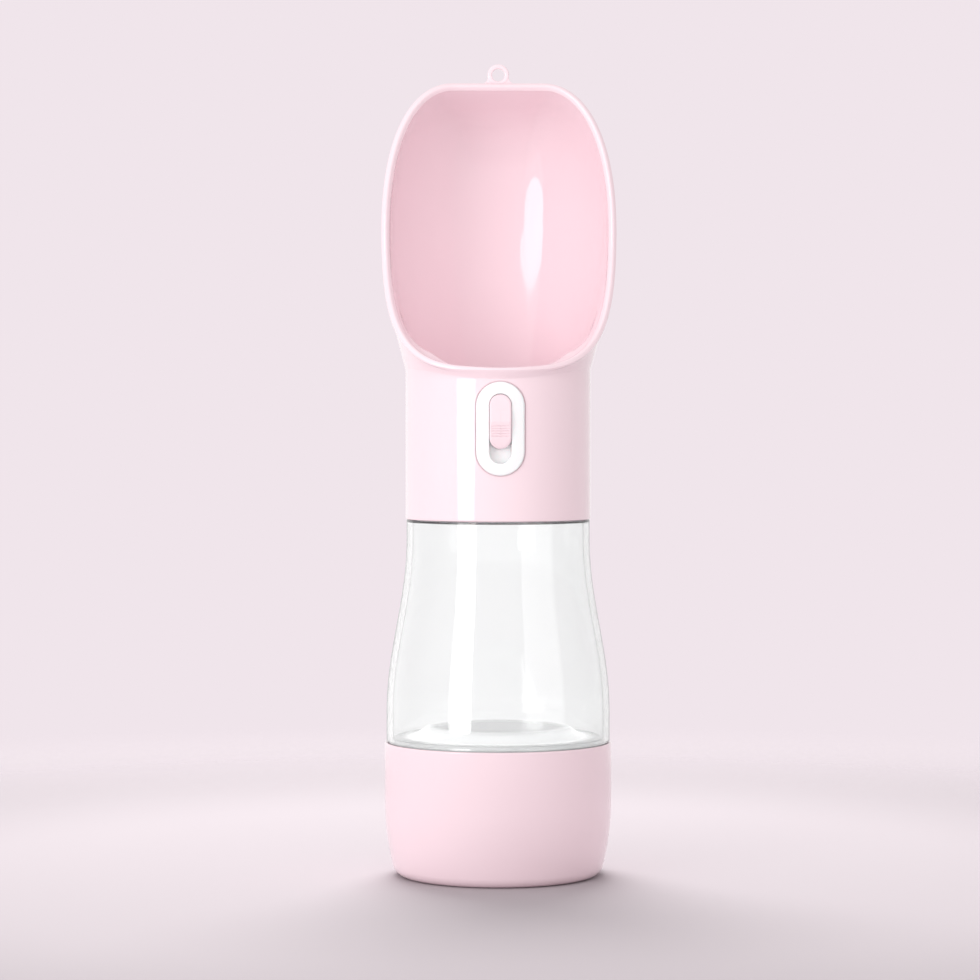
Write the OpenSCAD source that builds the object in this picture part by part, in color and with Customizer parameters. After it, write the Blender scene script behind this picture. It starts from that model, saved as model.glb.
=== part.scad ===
// Dog travel water bottle: a drinking scoop on a clear bottle, with a food cup
// screwed on below. Millimetres, +Z up, the foot of the cup at z = 0 and the
// bottle's axis on the Z axis. The scoop opens to the front, which is -Y.

/* [Food cup] */
// Largest radius of the food cup
cup_r = 36; // [34:0.5:40]
// Height of the cup's rim above the ground
cup_h = 42.5; // [38:0.5:48]
// Thickness of the cup's side wall
cup_wall = 2.4; // [2:0.1:3]
// How far the side wall draws in towards the foot
cup_taper = 2.4; // [1:0.1:4]

/* [Bottle] */
// Height at which the bottle meets the head
shoulder_z = 113; // [105:1:120]
// Outer radius of the bottle near its foot
bottle_r = 35.4; // [33:0.1:36]
// Outer radius of the sleeve, with the bottle's shoulder just inside it
waist_r = 29.3; // [27:0.1:31]
// Thickness of the bottle's wall
bottle_wall = 1.9; // [1.5:0.1:2.5]
// Outer radius of the threaded neck
neck_r = 21.6; // [20:0.1:22]
// Height of the neck above the shoulder
neck_h = 9.5; // [8:0.5:9.5]
// Height of the raised centre of the bottle's floor
punt_h = 3.2; // [2.8:0.1:5]

/* [Head] */
// Thickness of the head's walls
shell_wall = 1.8; // [1.5:0.1:2.2]
// Height at which the sleeve ends and the scoop begins
sleeve_top = 157.3; // [157:0.1:158]
// Half width of the scoop across its rim
scoop_half_w = 36.8; // [34:0.1:38]
// Height of the scoop's lip at the front
lip_z = 159.9; // [159.6:0.1:162]
// How far the lip stands out from the sleeve
lip_out = 1.7; // [1:0.1:3]
// Height of the scoop's top edge
scoop_top = 250.6; // [240:0.1:260]
// Half width of the straight top edge
top_flat = 14; // [8:0.5:16]
// Place of the rim's widest point from front to back
rim_side_y = -12; // [-16:0.5:-8]
// Place of the top edge from front to back
rim_top_y = -4; // [-8:0.5:4]
// Width of the rim
rim_w = 2.5; // [1.8:0.1:2.8]
// How much the scoop's wall falls as it leaves the rim backwards
rim_lean = 14; // [8:1:20]
// How much more it falls at the lip
lip_steepness = 48; // [40:1:60]
// Angle at which the lip leans out from the sleeve
lip_flare = 33; // [25:1:36]
// Angle at which the scoop's back leans out from the sleeve
back_flare = 5.3; // [3:0.1:8]

/* [Button] */
// Height of the middle of the bezel
bezel_z = 141.9; // [141.5:0.1:142.2]
// Width of the bezel
bezel_w = 15; // [14.5:0.1:15.5]
// Length of the bezel
bezel_l = 29; // [28.6:0.1:29]
// Width of the slot in the bezel
slot_w = 6.9; // [6.8:0.1:7.2]
// Length of the slot in the bezel
slot_l = 21.6; // [21.4:0.1:21.8]
// How far the button slides down to lock
lock_travel = 4.4; // [4:0.1:4.4]
// How far the button is pressed in
press_travel = 2.5; // [2:0.1:2.5]
// How far the valve stem moves down when the button is pressed
valve_travel = 2.7; // [2.4:0.1:2.7]

/* [Lanyard loop] */
// Radius of the hole for a wrist cord
loop_bore_r = 2; // [1.5:0.1:2.2]
// Outer radius of the ring round the hole
loop_r = 3.4; // [3:0.1:4]
// Thickness of the ring from front to back
loop_t = 2.8; // [2:0.1:3]

/* [Hidden] */
$fn = 96;

// Colours
pink = "#fbdde4";
clear_plastic = "#eef2f2";
white_plastic = "#fbfbfb";
silicone = "#e4e6e6";
steel = "#b9bcc0";

// Clearances
gap = 0.1;
seam = 0.3;
eps = 0.01;

// Food cup: the seal rests on a ledge inside the rim
ledge_depth = 2.1;
ledge_w = 1.2;
cup_floor = 2.4;
taper_z = 24;
foot_fillet = 4;
foot_blend = 76;
foot_groove_r = 25.5;
foot_groove_w = 2;
foot_groove_d = 0.6;
cup_in_r = cup_r - cup_wall;
ledge_r = cup_in_r + ledge_w;
ledge_z = cup_h - ledge_depth;

// Bottle base: a flange, a raised centre and a collar for the cup's thread
flange_z = cup_h + seam;
flange_t = 1.4;
wall_foot_z = flange_z + flange_t;
collar_r = cup_in_r - 1.5;
collar_t = 2;
collar_h = 8.3;
punt_foot_r = 27.2;
punt_top_r = 23.3;
punt_t = 1.6;
seal_h = flange_z - ledge_z;

// Bottle wall: straight, drawn in along a cosine, straight again
shoulder_r = waist_r - 0.3;
waist_from_z = 52;
waist_to_z = 107;
waist_steps = 18;
neck_t = 2.2;
shoulder_t = 2.2;
shoulder_round = 0.8;
neck_top_z = shoulder_z + neck_h;

// Head: the core's plate carries the valve
sleeve_bottom = shoulder_z + seam;
sleeve_in_r = waist_r - shell_wall;
gasket_h = 1.5;
plate_z = neck_top_z + gasket_h;
plate_t = 2.2;
plate_top = plate_z + plate_t;
core_step = 0.6;
scoop_floor_z = 158.6;
scoop_floor_t = 1.8;
scoop_floor_under = scoop_floor_z - scoop_floor_t;
floor_round = 5;
outlet_y = 15;
outlet_r = 3.4;
outlet_pipe_r = 5;
grommet_r = 5.7;
grommet_h = 2.2;

// Valve in the core
seat_r = 4;
chamber_top = 131;
boss_r = 6.5;
boss_top = 135;
stem_r = 2;
stem_fit = 0.06;
groove_r = 1.3;
groove_z = 134.2;
groove_h = 0.8;
stem_head_r = 3.6;
stem_head_z = 139.4;
stem_head_t = 1.6;
plug_r = 6.2;
plug_t = 2.8;
washer_r = 4.2;
washer_t = 1;
stem_foot_z = plate_z - plug_t - washer_t - 0.8;
cage_r = 9;
cage_wall = 1.4;
cage_z = plate_z - 10.5;
cage_floor_t = 1.2;
skirt_r = 23.3;
skirt_wall = 1.9;
skirt_bottom = sleeve_bottom + 0.2;
channel_r = 1.9;
channel_z = plate_top + 2.2;

// Lever: a bell crank between the button and the stem
pivot_y = -10;
pivot_z = 138;
pin_r = 1.2;
pin_fit = 0.05;
pin_half = 6.2;
ear_in = 4.4;
ear_t = 1.8;
hub_r = 2.6;
lever_half = 4.1;
leg_t = 1.2;
bar_t = 2.4;
bar_z = 145.4;
bar_top = 149.4;
arm_half = 2.4;
arm_tip_r = 1.2;
arm_tip_z = stem_head_z + stem_head_t + gap + arm_tip_r;
knee_y = -6.6;
knee_z = 142.9;

// Bezel, button and carrier, from the front to the back
bezel_r = waist_r + 0.9;
collar_clear = 0.1;
collar_margin = 1.15;
rail_half = 6.2;
rail_front = -26.5;
rail_back = -23.9;
rail_lip = 0.75;
plate_half = 5.1;
plate_front = -26.3;
plate_thick = 1.2;
slot_top = bezel_z + slot_l / 2;
slot_bottom = bezel_z - slot_l / 2;
button_w = slot_w - 0.3;
button_l = slot_l - lock_travel - 0.3;
button_z = slot_top - 0.15 - button_l / 2;
button_front = -30;
button_crown = 1.7;
button_back = -26.1;
pusher_z = 147.6;
nose_half = 2.2;
nose_h = 3.2;
nose_r = 1.2;
rod_r = 1.4;
rod_fit = 0.06;
bridge_back = -18.5;
bridge_t = 1.2;
wall_in = 3.4;
wall_t = 0.85;
wall_z0 = 143.6;
wall_z1 = 151.6;

// Springs: steps round a turn, and sides of the wire
coil_steps = 8;
wire_sides = 6;

// ---- rim of the scoop --------------------------------------------------------

// Half of the rim is one smooth line in space: an arc round the lip, a curve up
// and back to the widest point, a curve in to the flat top edge.
lip_r = waist_r + lip_out;
lip_half = 10;
lip_rise = 0.2;
rim_mid_z = lip_z + 44;
rim_shares = [0.12, 0.50, 0.94];
lip_end = [lip_half, -sqrt(lip_r * lip_r - lip_half * lip_half), lip_z + lip_rise];
side_mid = [scoop_half_w, rim_side_y, rim_mid_z];
top_end = [top_flat, rim_top_y, scoop_top];
lip_pull = [21, 21 * tan(19), 0.5];
low_pull = [0, -0.2, -32];
high_pull = [0, 0.3, 30];
top_pull = [13, -1.5, 0];

// Steps: half the points round a section, and the rings of each wall
rim_half_n = 36;
outer_rings = 16;
inner_rings = 15;
fillet_rings = 3;

function bezier(a, b, c, d, t) =
    a * pow(1 - t, 3) + b * 3 * pow(1 - t, 2) * t + c * 3 * (1 - t) * pow(t, 2) + d * pow(t, 3);

// Where u lies between two of the shares, from 0 to 1
function share(u, from, to) = (u - from) / (to - from);

// Point of the rim's outer edge at u, from the middle of the lip (0) to the top (1)
function rim_outer(u) =
    let(x = lip_half * u / rim_shares[0])
    u <= rim_shares[0]
        ? [x, -sqrt(lip_r * lip_r - x * x), lip_z + lip_rise * pow(x / lip_half, 2)]
    : u <= rim_shares[1]
        ? bezier(
            lip_end, lip_end + lip_pull, side_mid + low_pull, side_mid,
            share(u, rim_shares[0], rim_shares[1]))
    : u <= rim_shares[2]
        ? bezier(
            side_mid, side_mid + high_pull, top_end + top_pull, top_end,
            share(u, rim_shares[1], rim_shares[2]))
    : [top_flat * (1 - share(u, rim_shares[2], 1)), rim_top_y, scoop_top];

// Direction in which the wall leaves the rim: downwards at the lip, backwards above
function wall_dir(u) =
    let(a = rim_lean + lip_steepness * pow((1 + cos(180 * u)) / 2, 4))
    [0, cos(a), -sin(a)];

// Direction across the rim, from its outer to its inner edge
function rim_across(u) =
    let(
        h = 0.004,
        along = u <= 0 ? [1, 0, 0] : u >= 1 ? [-1, 0, 0] : rim_outer(min(1, u + h)) - rim_outer(u - h),
        n = cross(along, wall_dir(u))
    )
    n / norm(n);

function rim_inner(u) = rim_outer(u) + rim_across(u) * rim_w;
function rim_crest(u, part) =
    rim_outer(u) * (1 - part) + rim_inner(u) * part
    - wall_dir(u) * (sin(180 * part) * rim_w * 0.42);

// Point of the sleeve's circle that belongs to u, at radius r and height z
function sleeve_point(u, r, z) = [r * sin(180 * u), -r * cos(180 * u), z];

// Direction in which the wall leaves the sleeve: far out at the lip, less at the back
function rise_dir(u) =
    let(a = back_flare + (lip_flare - back_flare) * pow((1 + cos(180 * u)) / 2, 1.5))
    [sin(a) * sin(180 * u), -sin(a) * cos(180 * u), cos(a)];

// How long the wall keeps that direction, longer at the back
lip_pull_up = 0.55;
back_pull_up = 0.88;
function rise_pull(u) =
    lip_pull_up + (back_pull_up - lip_pull_up) * pow((1 - cos(180 * u)) / 2, 3);

// A wall from the sleeve to the rim, which it meets in its wall direction
rim_pull = 0.31;
function wall_point(u, foot, edge, t) =
    let(reach = norm(edge - foot))
    bezier(
        foot, foot + rise_dir(u) * (reach * rise_pull(u)),
        edge + wall_dir(u) * (reach * rim_pull), edge, t);

function outer_wall(u, t) =
    wall_point(u, sleeve_point(u, waist_r, sleeve_top), rim_outer(u), t);

// The inner wall starts above a fillet, which is smaller where the lip is low
function fillet_r(u) = min(floor_round, 0.62 * (rim_inner(u)[2] - scoop_floor_z));
function inner_wall(u, t) =
    wall_point(
        u, sleeve_point(u, sleeve_in_r - core_step, scoop_floor_z + fillet_r(u)), rim_inner(u), t);
function floor_fillet(u, a) =
    sleeve_point(
        u,
        sleeve_in_r - core_step - fillet_r(u) * (1 - sin(a)),
        scoop_floor_z + fillet_r(u) * (1 - cos(a)));

// One closed ring from a function of u: the half ring and its mirror image
function ring_u(i) = i <= rim_half_n ? i / rim_half_n : (2 * rim_half_n - i) / rim_half_n;
function side_of(i) = i <= rim_half_n ? 1 : -1;
function mirrored(p, i) = [p[0] * side_of(i), p[1], p[2]];
ring_n = 2 * rim_half_n;
ring_ids = [for (i = [0 : ring_n - 1]) i];

function sleeve_ring(r, z) = [for (i = ring_ids) mirrored(sleeve_point(ring_u(i), r, z), i)];

// All rings of the head in order: up inside the sleeve is a step for the core,
// then out, up the outer wall, over the rim, down the inner wall to the floor.
head_rings = concat(
    [
        sleeve_ring(sleeve_in_r - core_step, scoop_floor_under),
        sleeve_ring(sleeve_in_r - core_step, plate_top),
        sleeve_ring(sleeve_in_r, plate_top),
        sleeve_ring(sleeve_in_r, sleeve_bottom),
        sleeve_ring(waist_r, sleeve_bottom)
    ],
    [for (k = [0 : outer_rings])
        [for (i = ring_ids) mirrored(outer_wall(ring_u(i), k / outer_rings), i)]],
    [for (part = [0.17, 0.5, 0.83])
        [for (i = ring_ids) mirrored(rim_crest(ring_u(i), part), i)]],
    [for (k = [0 : inner_rings])
        [for (i = ring_ids) mirrored(inner_wall(ring_u(i), 1 - k / inner_rings), i)]],
    [for (k = [1 : fillet_rings])
        [for (i = ring_ids) mirrored(floor_fillet(ring_u(i), 90 - 90 * k / fillet_rings), i)]]
);

// ---- helpers -----------------------------------------------------------------

// A closed solid through rings of equal length, with flat ends
module loft(rings) {
    n = len(rings[0]);
    last = len(rings) - 1;
    points = [for (ring = rings) each ring];
    sides = [
        for (k = [0 : last - 1], i = [0 : n - 1])
            let(a = k * n + i, b = k * n + (i + 1) % n)
            each [[a, b, b + n], [a, b + n, a + n]]
    ];
    ends = [
        [for (i = [n - 1 : -1 : 0]) i],
        [for (i = [0 : n - 1]) last * n + i]
    ];
    polyhedron(points = points, faces = concat(sides, ends), convexity = 8);
}

// A coil spring wound round +Z, whose wire stays between z = 0 and z = height
module coil(height, coil_r, wire_r, turns) {
    steps = turns * coil_steps;
    climb = (height - 2 * wire_r) / steps;
    loft([
        for (k = [0 : steps])
            let(a = 360 * k / coil_steps)
            [for (s = [0 : wire_sides - 1])
                let(b = -360 * s / wire_sides, r = coil_r + wire_r * cos(b))
                [r * cos(a), r * sin(a), wire_r + k * climb + wire_r * sin(b)]]
    ]);
}

// A ring with square edges
module ring(r_out, r_in, z, h) {
    translate([0, 0, z])
        difference() {
            cylinder(r = r_out, h = h);
            translate([0, 0, -1])
                cylinder(r = r_in, h = h + 2);
        }
}

// A rod along +Y
module rod_y(r, x, y, z, length) {
    translate([x, y, z])
        rotate([-90, 0, 0])
            cylinder(r = r, h = length);
}

// A rod along X, centred on x = 0
module rod_x(r, y, z, half) {
    translate([-half, y, z])
        rotate([0, 90, 0])
            cylinder(r = r, h = 2 * half);
}

// A box from its low corner to its high corner
module block(low, high) {
    translate(low)
        cube(high - low);
}

// A prism along +Y with round ends above and below
module stadium_y(w, l, y0, y1, z) {
    straight = (l - w) / 2;
    block([-w / 2, y0, z - straight], [w / 2, y1, z + straight]);
    for (side = [-1, 1])
        rod_y(w / 2, 0, y0, z + side * straight, y1 - y0);
}

// ---- food cup and its seal ----------------------------------------------------

function cup_side(z) = cup_r - cup_taper * pow(max(0, taper_z - z) / 20, 2);

// The heel's round meets the drawn-in side where both lean by the same angle
function heel_r(a) =
    cup_side(foot_fillet * (1 - cos(foot_blend))) - foot_fillet * (sin(foot_blend) - sin(a));

module food_cup() {
    outer = concat(
        [[0, 0], [foot_groove_r, 0], [foot_groove_r, foot_groove_d]],
        [[foot_groove_r + foot_groove_w, foot_groove_d], [foot_groove_r + foot_groove_w, 0]],
        [for (a = [0 : foot_blend / 4 : foot_blend]) [heel_r(a), foot_fillet * (1 - cos(a))]],
        [for (z = [foot_fillet + 2 : 3 : taper_z]) [cup_side(z), z]]
    );
    rim = [
        [cup_r, cup_h - 0.5], [cup_r - 0.5, cup_h],
        [ledge_r, cup_h], [ledge_r, ledge_z], [cup_in_r, ledge_z]
    ];
    inner = concat(
        [for (z = [taper_z : -4 : 12]) [cup_side(z) - cup_wall, z]],
        [for (a = [90 : -15 : 0])
            [cup_side(8) - cup_wall - 6 * (1 - sin(a)), cup_floor + 6 * (1 - cos(a))]],
        [[0, cup_floor]]
    );
    color(pink)
        rotate_extrude()
            polygon(concat(outer, rim, inner));
}

module cup_seal() {
    color(silicone)
        ring(ledge_r - 0.2, collar_r + 0.15, ledge_z, seal_h);
}

// ---- bottle ---------------------------------------------------------------------

function bottle_side(z) =
    z <= waist_from_z ? bottle_r
    : z >= waist_to_z ? shoulder_r
    : shoulder_r + (bottle_r - shoulder_r)
        * (1 + cos(180 * (z - waist_from_z) / (waist_to_z - waist_from_z))) / 2;

function waist_z(k) = waist_from_z + (waist_to_z - waist_from_z) * k / waist_steps;

module bottle_body() {
    under_shoulder = shoulder_z - shoulder_t;
    outer = concat(
        [[bottle_r, wall_foot_z]],
        [for (k = [0 : waist_steps]) [bottle_side(waist_z(k)), waist_z(k)]],
        [[shoulder_r, shoulder_z - shoulder_round]],
        [[shoulder_r - shoulder_round, shoulder_z], [neck_r, shoulder_z], [neck_r, neck_top_z]]
    );
    inner = concat(
        [[neck_r - neck_t, neck_top_z], [neck_r - neck_t, shoulder_z - 1]],
        [[shoulder_r - bottle_wall - 3, under_shoulder - 1]],
        [[shoulder_r - bottle_wall, waist_to_z]],
        [for (k = [waist_steps - 1 : -1 : 0]) [bottle_side(waist_z(k)) - bottle_wall, waist_z(k)]],
        [[bottle_r - bottle_wall, wall_foot_z]]
    );
    color(clear_plastic, 0.4)
        rotate_extrude()
            polygon(concat(outer, inner));
}

module bottle_base() {
    under = flange_z;
    color(clear_plastic, 0.5)
        rotate_extrude()
            polygon([
                [0, wall_foot_z + punt_h], [0, wall_foot_z + punt_h - punt_t],
                [punt_top_r - 1, wall_foot_z + punt_h - punt_t],
                [punt_foot_r - 1, under], [collar_r - collar_t, under],
                [collar_r - collar_t, under - collar_h], [collar_r - 0.6, under - collar_h],
                [collar_r, under - collar_h + 0.6], [collar_r, under],
                [bottle_r, under], [bottle_r, wall_foot_z],
                [punt_foot_r, wall_foot_z], [punt_top_r + 0.4, wall_foot_z + punt_h - 0.6],
                [punt_top_r - 0.4, wall_foot_z + punt_h]
            ]);
}

module neck_gasket() {
    color(silicone)
        ring(neck_r + 0.9, neck_r - neck_t - 0.4, neck_top_z, gasket_h);
}

// ---- head shell -------------------------------------------------------------------

window_w = bezel_w - 2 * collar_margin;
window_l = bezel_l - 2 * collar_margin;
loop_y = rim_top_y + 0.4;
notch_half = 5.2;
notch_d = 1.5;

module head_shell() {
    color(pink)
        difference() {
            loft(head_rings);
            stadium_y(window_w, window_l, -waist_r - 5, -waist_r + 8, bezel_z);
            translate([0, outlet_y, scoop_floor_under - 2])
                cylinder(r = outlet_r, h = scoop_floor_t + 4);
            block(
                [-notch_half, loop_y, scoop_top - notch_d],
                [notch_half, loop_y + loop_t, scoop_top + 3]);
        }
}

loop_z = scoop_top + 2.6;

// The ring stands on a foot let into the rim, with a hollow curve on each side
module lanyard_loop() {
    flare = 2;
    color(pink)
        difference() {
            union() {
                rod_y(loop_r, 0, loop_y, loop_z, loop_t);
                translate([0, loop_y + loop_t, 0])
                    rotate([90, 0, 0])
                        linear_extrude(loop_t)
                            polygon(concat(
                                [[-notch_half, scoop_top - notch_d], [notch_half, scoop_top - notch_d]],
                                [for (a = [0 : 15 : 90])
                                    [notch_half - flare * sin(a), scoop_top + flare * (1 - cos(a))]],
                                [for (a = [90 : -15 : 0])
                                    [-notch_half + flare * sin(a), scoop_top + flare * (1 - cos(a))]]
                            ));
            }
            rod_y(loop_bore_r, 0, loop_y - 1, loop_z, loop_t + 2);
        }
}

// ---- bezel, carrier and button ------------------------------------------------------

// The flange follows the sleeve's curve; the rails behind it guide the carrier
module button_bezel() {
    collar_w = window_w - 2 * collar_clear;
    collar_l = window_l - 2 * collar_clear;
    rail_low = bezel_z - (window_l - window_w) / 2 - 0.8;
    rail_high = bezel_z + (window_l - window_w) / 2 + 0.8;
    color(white_plastic) {
        difference() {
            union() {
                intersection() {
                    stadium_y(bezel_w, bezel_l, -bezel_r - 1, -20, bezel_z);
                    ring(bezel_r, waist_r, bezel_z - bezel_l, 2 * bezel_l);
                }
                intersection() {
                    stadium_y(collar_w, collar_l, -bezel_r - 1, rail_front, bezel_z);
                    translate([0, 0, bezel_z - bezel_l])
                        cylinder(r = waist_r + 0.4, h = 2 * bezel_l);
                }
                for (side = [-1, 1])
                    block(
                        [side > 0 ? plate_half + gap : -rail_half, rail_front - eps, rail_low],
                        [side > 0 ? rail_half : -plate_half - gap, rail_back, rail_high]);
                for (side = [-1, 1])
                    block(
                        [side > 0 ? rail_half - rail_lip - 1 : -rail_half, rail_back - 1.1, rail_low],
                        [side > 0 ? rail_half : -rail_half + rail_lip + 1, rail_back, rail_high]);
            }
            stadium_y(slot_w, slot_l, -bezel_r - 2, rail_front + 1, bezel_z);
        }
    }
}

// A plate behind the slot, with a window for the button and a bridge for its rod
module slide_carrier() {
    plate_low = slot_bottom - 0.3;
    plate_high = slot_top + 0.6;
    plate_back = plate_front + plate_thick;
    color(white_plastic)
        difference() {
            union() {
                block([-plate_half, plate_front, plate_low], [plate_half, plate_back, plate_high]);
                for (side = [-1, 1])
                    block(
                        [side > 0 ? wall_in : -wall_in - wall_t, plate_back - eps, wall_z0],
                        [side > 0 ? wall_in + wall_t : -wall_in, bridge_back, wall_z1]);
                block(
                    [-wall_in - eps, bridge_back - bridge_t, wall_z0],
                    [wall_in + eps, bridge_back, wall_z1]);
            }
            stadium_y(
                button_w + 2 * gap, button_l + 2 * gap, plate_front - 1, plate_back + 1, button_z);
            rod_y(rod_r + rod_fit, 0, bridge_back - bridge_t - 1, pusher_z, bridge_t + 2);
        }
}

// The thumb face is crowned along its length
function thumb_y(z) =
    button_front - button_crown * (1 - pow((z - button_z) / (button_l / 2), 2));

// Four grip grooves run across the face below its middle
module release_button() {
    straight = (button_l - button_w) / 2;
    crown_n = 12;
    crown = [
        for (k = [0 : crown_n])
            let(z = button_z + button_l * (k / crown_n - 0.5))
            [thumb_y(z), z]
    ];
    color(pink)
        difference() {
            intersection() {
                stadium_y(button_w, button_l, -bezel_r - 4, button_back, button_z);
                translate([-button_w, 0, 0])
                    rotate([90, 0, 90])
                        linear_extrude(2 * button_w)
                            polygon(concat(
                                crown,
                                [[button_back, button_z + straight + button_w / 2]],
                                [[button_back, button_z - straight - button_w / 2]]
                            ));
            }
            rod_y(rod_r, 0, button_back - 2.5, pusher_z, 4);
            for (z = [for (k = [1 : 4]) button_z - 0.7 - 0.8 * k])
                translate([0, thumb_y(z) - 0.05, z])
                    rotate([0, 90, 0])
                        cylinder(r = 0.27, h = button_w - 1.6, $fn = 16, center = true);
        }
}

module button_pusher() {
    nose_front = pivot_y - bar_t / 2 - gap;
    color(white_plastic) {
        rod_y(rod_r, 0, button_back - 2.4, pusher_z, -button_back + 2.4 + bridge_back + 0.5);
        block(
            [-nose_half, bridge_back + gap, pusher_z - nose_h / 2],
            [nose_half, nose_front - nose_r, pusher_z + nose_h / 2]);
        rod_x(nose_r, nose_front - nose_r, pusher_z, nose_half);
    }
}

module button_spring() {
    color(steel)
        translate([0, button_back + 0.05, pusher_z])
            rotate([-90, 0, 0])
                coil(bridge_back - bridge_t - button_back - 0.1, 2.25, 0.25, 5);
}

// ---- valve ----------------------------------------------------------------------------

module valve_core() {
    color(white_plastic)
        difference() {
            union() {
                ring(sleeve_in_r - gap, seat_r, plate_z, plate_t);
                ring(sleeve_in_r - gap, skirt_r, plate_z - 2, 2);
                ring(skirt_r + skirt_wall, skirt_r, skirt_bottom, plate_z - skirt_bottom);
                ring(sleeve_in_r - gap, skirt_r, skirt_bottom, 1.6);
                ring(boss_r, seat_r, plate_top, boss_top - plate_top);
                ring(seat_r + eps, stem_r + stem_fit, chamber_top, boss_top - chamber_top);
                block([-3.2, boss_r - 1.5, plate_top], [3.2, outlet_y - 4, channel_z + 3]);
                translate([0, outlet_y, plate_top])
                    cylinder(r = outlet_pipe_r, h = scoop_floor_under - grommet_h - plate_top);
                for (side = [-1, 1]) {
                    block(
                        [side > 0 ? ear_in : -ear_in - ear_t, pivot_y - hub_r, plate_top],
                        [side > 0 ? ear_in + ear_t : -ear_in, pivot_y + hub_r, pivot_z]);
                    translate([side * (ear_in + ear_t / 2), pivot_y, pivot_z])
                        rotate([0, 90, 0])
                            cylinder(r = hub_r, h = ear_t, center = true);
                }
            }
            translate([0, outlet_y, plate_top])
                cylinder(r = outlet_r, h = scoop_floor_under);
            rod_y(channel_r, 0, seat_r - 1, channel_z, outlet_y - seat_r);
            rod_x(pin_r, pivot_y, pivot_z, pin_half + 2);
        }
}

// A cup with four windows that holds the spring under the valve seat
module valve_cage() {
    window_low = cage_z + cage_floor_t + 1;
    window_high = plate_z - 2;
    color(white_plastic)
        difference() {
            ring(cage_r, cage_r - cage_wall, cage_z, plate_z - cage_z);
            for (a = [0, 90])
                rotate([0, 0, a])
                    block([-cage_r - 1, -3.2, window_low], [cage_r + 1, 3.2, window_high]);
        }
    color(white_plastic)
        difference() {
            translate([0, 0, cage_z])
                cylinder(r = cage_r - cage_wall + eps, h = cage_floor_t);
            for (a = [0 : 60 : 300])
                rotate([0, 0, a])
                    translate([5.4, 0, cage_z - 1])
                        cylinder(r = 1.3, h = cage_floor_t + 2);
            translate([0, 0, cage_z - 1])
                cylinder(r = 1.5, h = cage_floor_t + 2);
        }
}

module outlet_grommet() {
    color(silicone)
        translate([0, outlet_y, 0])
            ring(grommet_r, outlet_r, scoop_floor_under - grommet_h, grommet_h);
}

module lever_pin() {
    color(steel)
        rod_x(pin_r, pivot_y, pivot_z, pin_half);
}

// A hub, two legs joined by a bar that the nose meets, and a bent arm over the stem
module valve_lever() {
    color(white_plastic)
        difference() {
            union() {
                rod_x(hub_r, pivot_y, pivot_z, lever_half);
                for (side = [-1, 1])
                    block(
                        [side > 0 ? lever_half - leg_t : -lever_half, pivot_y - bar_t / 2, pivot_z],
                        [side > 0 ? lever_half : -lever_half + leg_t, pivot_y + bar_t / 2, bar_top]);
                block(
                    [-lever_half, pivot_y - bar_t / 2, bar_z],
                    [lever_half, pivot_y + bar_t / 2, bar_top]);
                rotate([90, 0, 90])
                    translate([0, 0, -arm_half])
                        linear_extrude(2 * arm_half)
                            for (bone = [
                                [[pivot_y, pivot_z, 1.5], [knee_y, knee_z, 1]],
                                [[knee_y, knee_z, 1], [0, arm_tip_z, 0.9]]
                            ])
                                hull()
                                    for (end = bone)
                                        translate([end[0], end[1]])
                                            circle(r = end[2], $fn = 32);
                rod_x(arm_tip_r, 0, arm_tip_z, arm_half);
            }
            rod_x(pin_r + pin_fit, pivot_y, pivot_z, lever_half + 1);
        }
}

module valve_stem() {
    color(white_plastic)
        rotate_extrude()
            polygon([
                [0, stem_foot_z], [stem_r - 0.3, stem_foot_z], [stem_r, stem_foot_z + 0.3],
                [stem_r, groove_z - groove_h / 2], [groove_r, groove_z - groove_h / 2],
                [groove_r, groove_z + groove_h / 2], [stem_r, groove_z + groove_h / 2],
                [stem_r, stem_head_z], [stem_head_r, stem_head_z],
                [stem_head_r, stem_head_z + stem_head_t], [0, stem_head_z + stem_head_t]
            ]);
}

module stem_oring() {
    section_r = (stem_r + 0.04 - groove_r) / 2;
    color(silicone)
        rotate_extrude()
            translate([groove_r + section_r, groove_z])
                circle(r = section_r, $fn = 32);
}

module valve_plug() {
    bore = stem_r + 0.04;
    spigot_r = seat_r - 0.4;
    color(silicone)
        rotate_extrude()
            polygon([
                [bore, plate_z - plug_t], [plug_r - 0.8, plate_z - plug_t],
                [plug_r, plate_z - plug_t + 0.8], [plug_r, plate_z],
                [spigot_r, plate_z], [spigot_r - 0.6, plate_z + 1.2], [bore, plate_z + 1.2]
            ]);
}

module plug_washer() {
    color(steel)
        ring(washer_r, stem_r + 0.02, plate_z - plug_t - washer_t, washer_t);
}

module valve_spring() {
    low = cage_z + cage_floor_t;
    high = plate_z - plug_t - washer_t;
    color(steel)
        translate([0, 0, low])
            coil(high - low, 3.2, 0.25, 5);
}

food_cup();
cup_seal();
bottle_body();
bottle_base();
neck_gasket();
head_shell();
lanyard_loop();
button_bezel();
valve_core();
valve_cage();
outlet_grommet();
lever_pin();
slide_carrier();
release_button();
button_pusher();
button_spring();
valve_lever();
valve_stem();
stem_oring();
valve_plug();
plug_washer();
valve_spring();
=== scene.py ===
"""Dog travel water bottle with a drinking scoop, dressed for the studio.

A pink drinking scoop with a thumb button screws onto a clear bottle, and a pink
food cup screws on below. Millimetres are used for every size in this file and
metres in Blender, +Z up, with the foot of the cup at z = 0, the bottle's axis on
the Z axis and the open side of the scoop towards -Y.
"""

import logging
import math
from dataclasses import dataclass
from enum import Enum
from typing import Callable, ClassVar, Optional, Sequence

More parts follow.
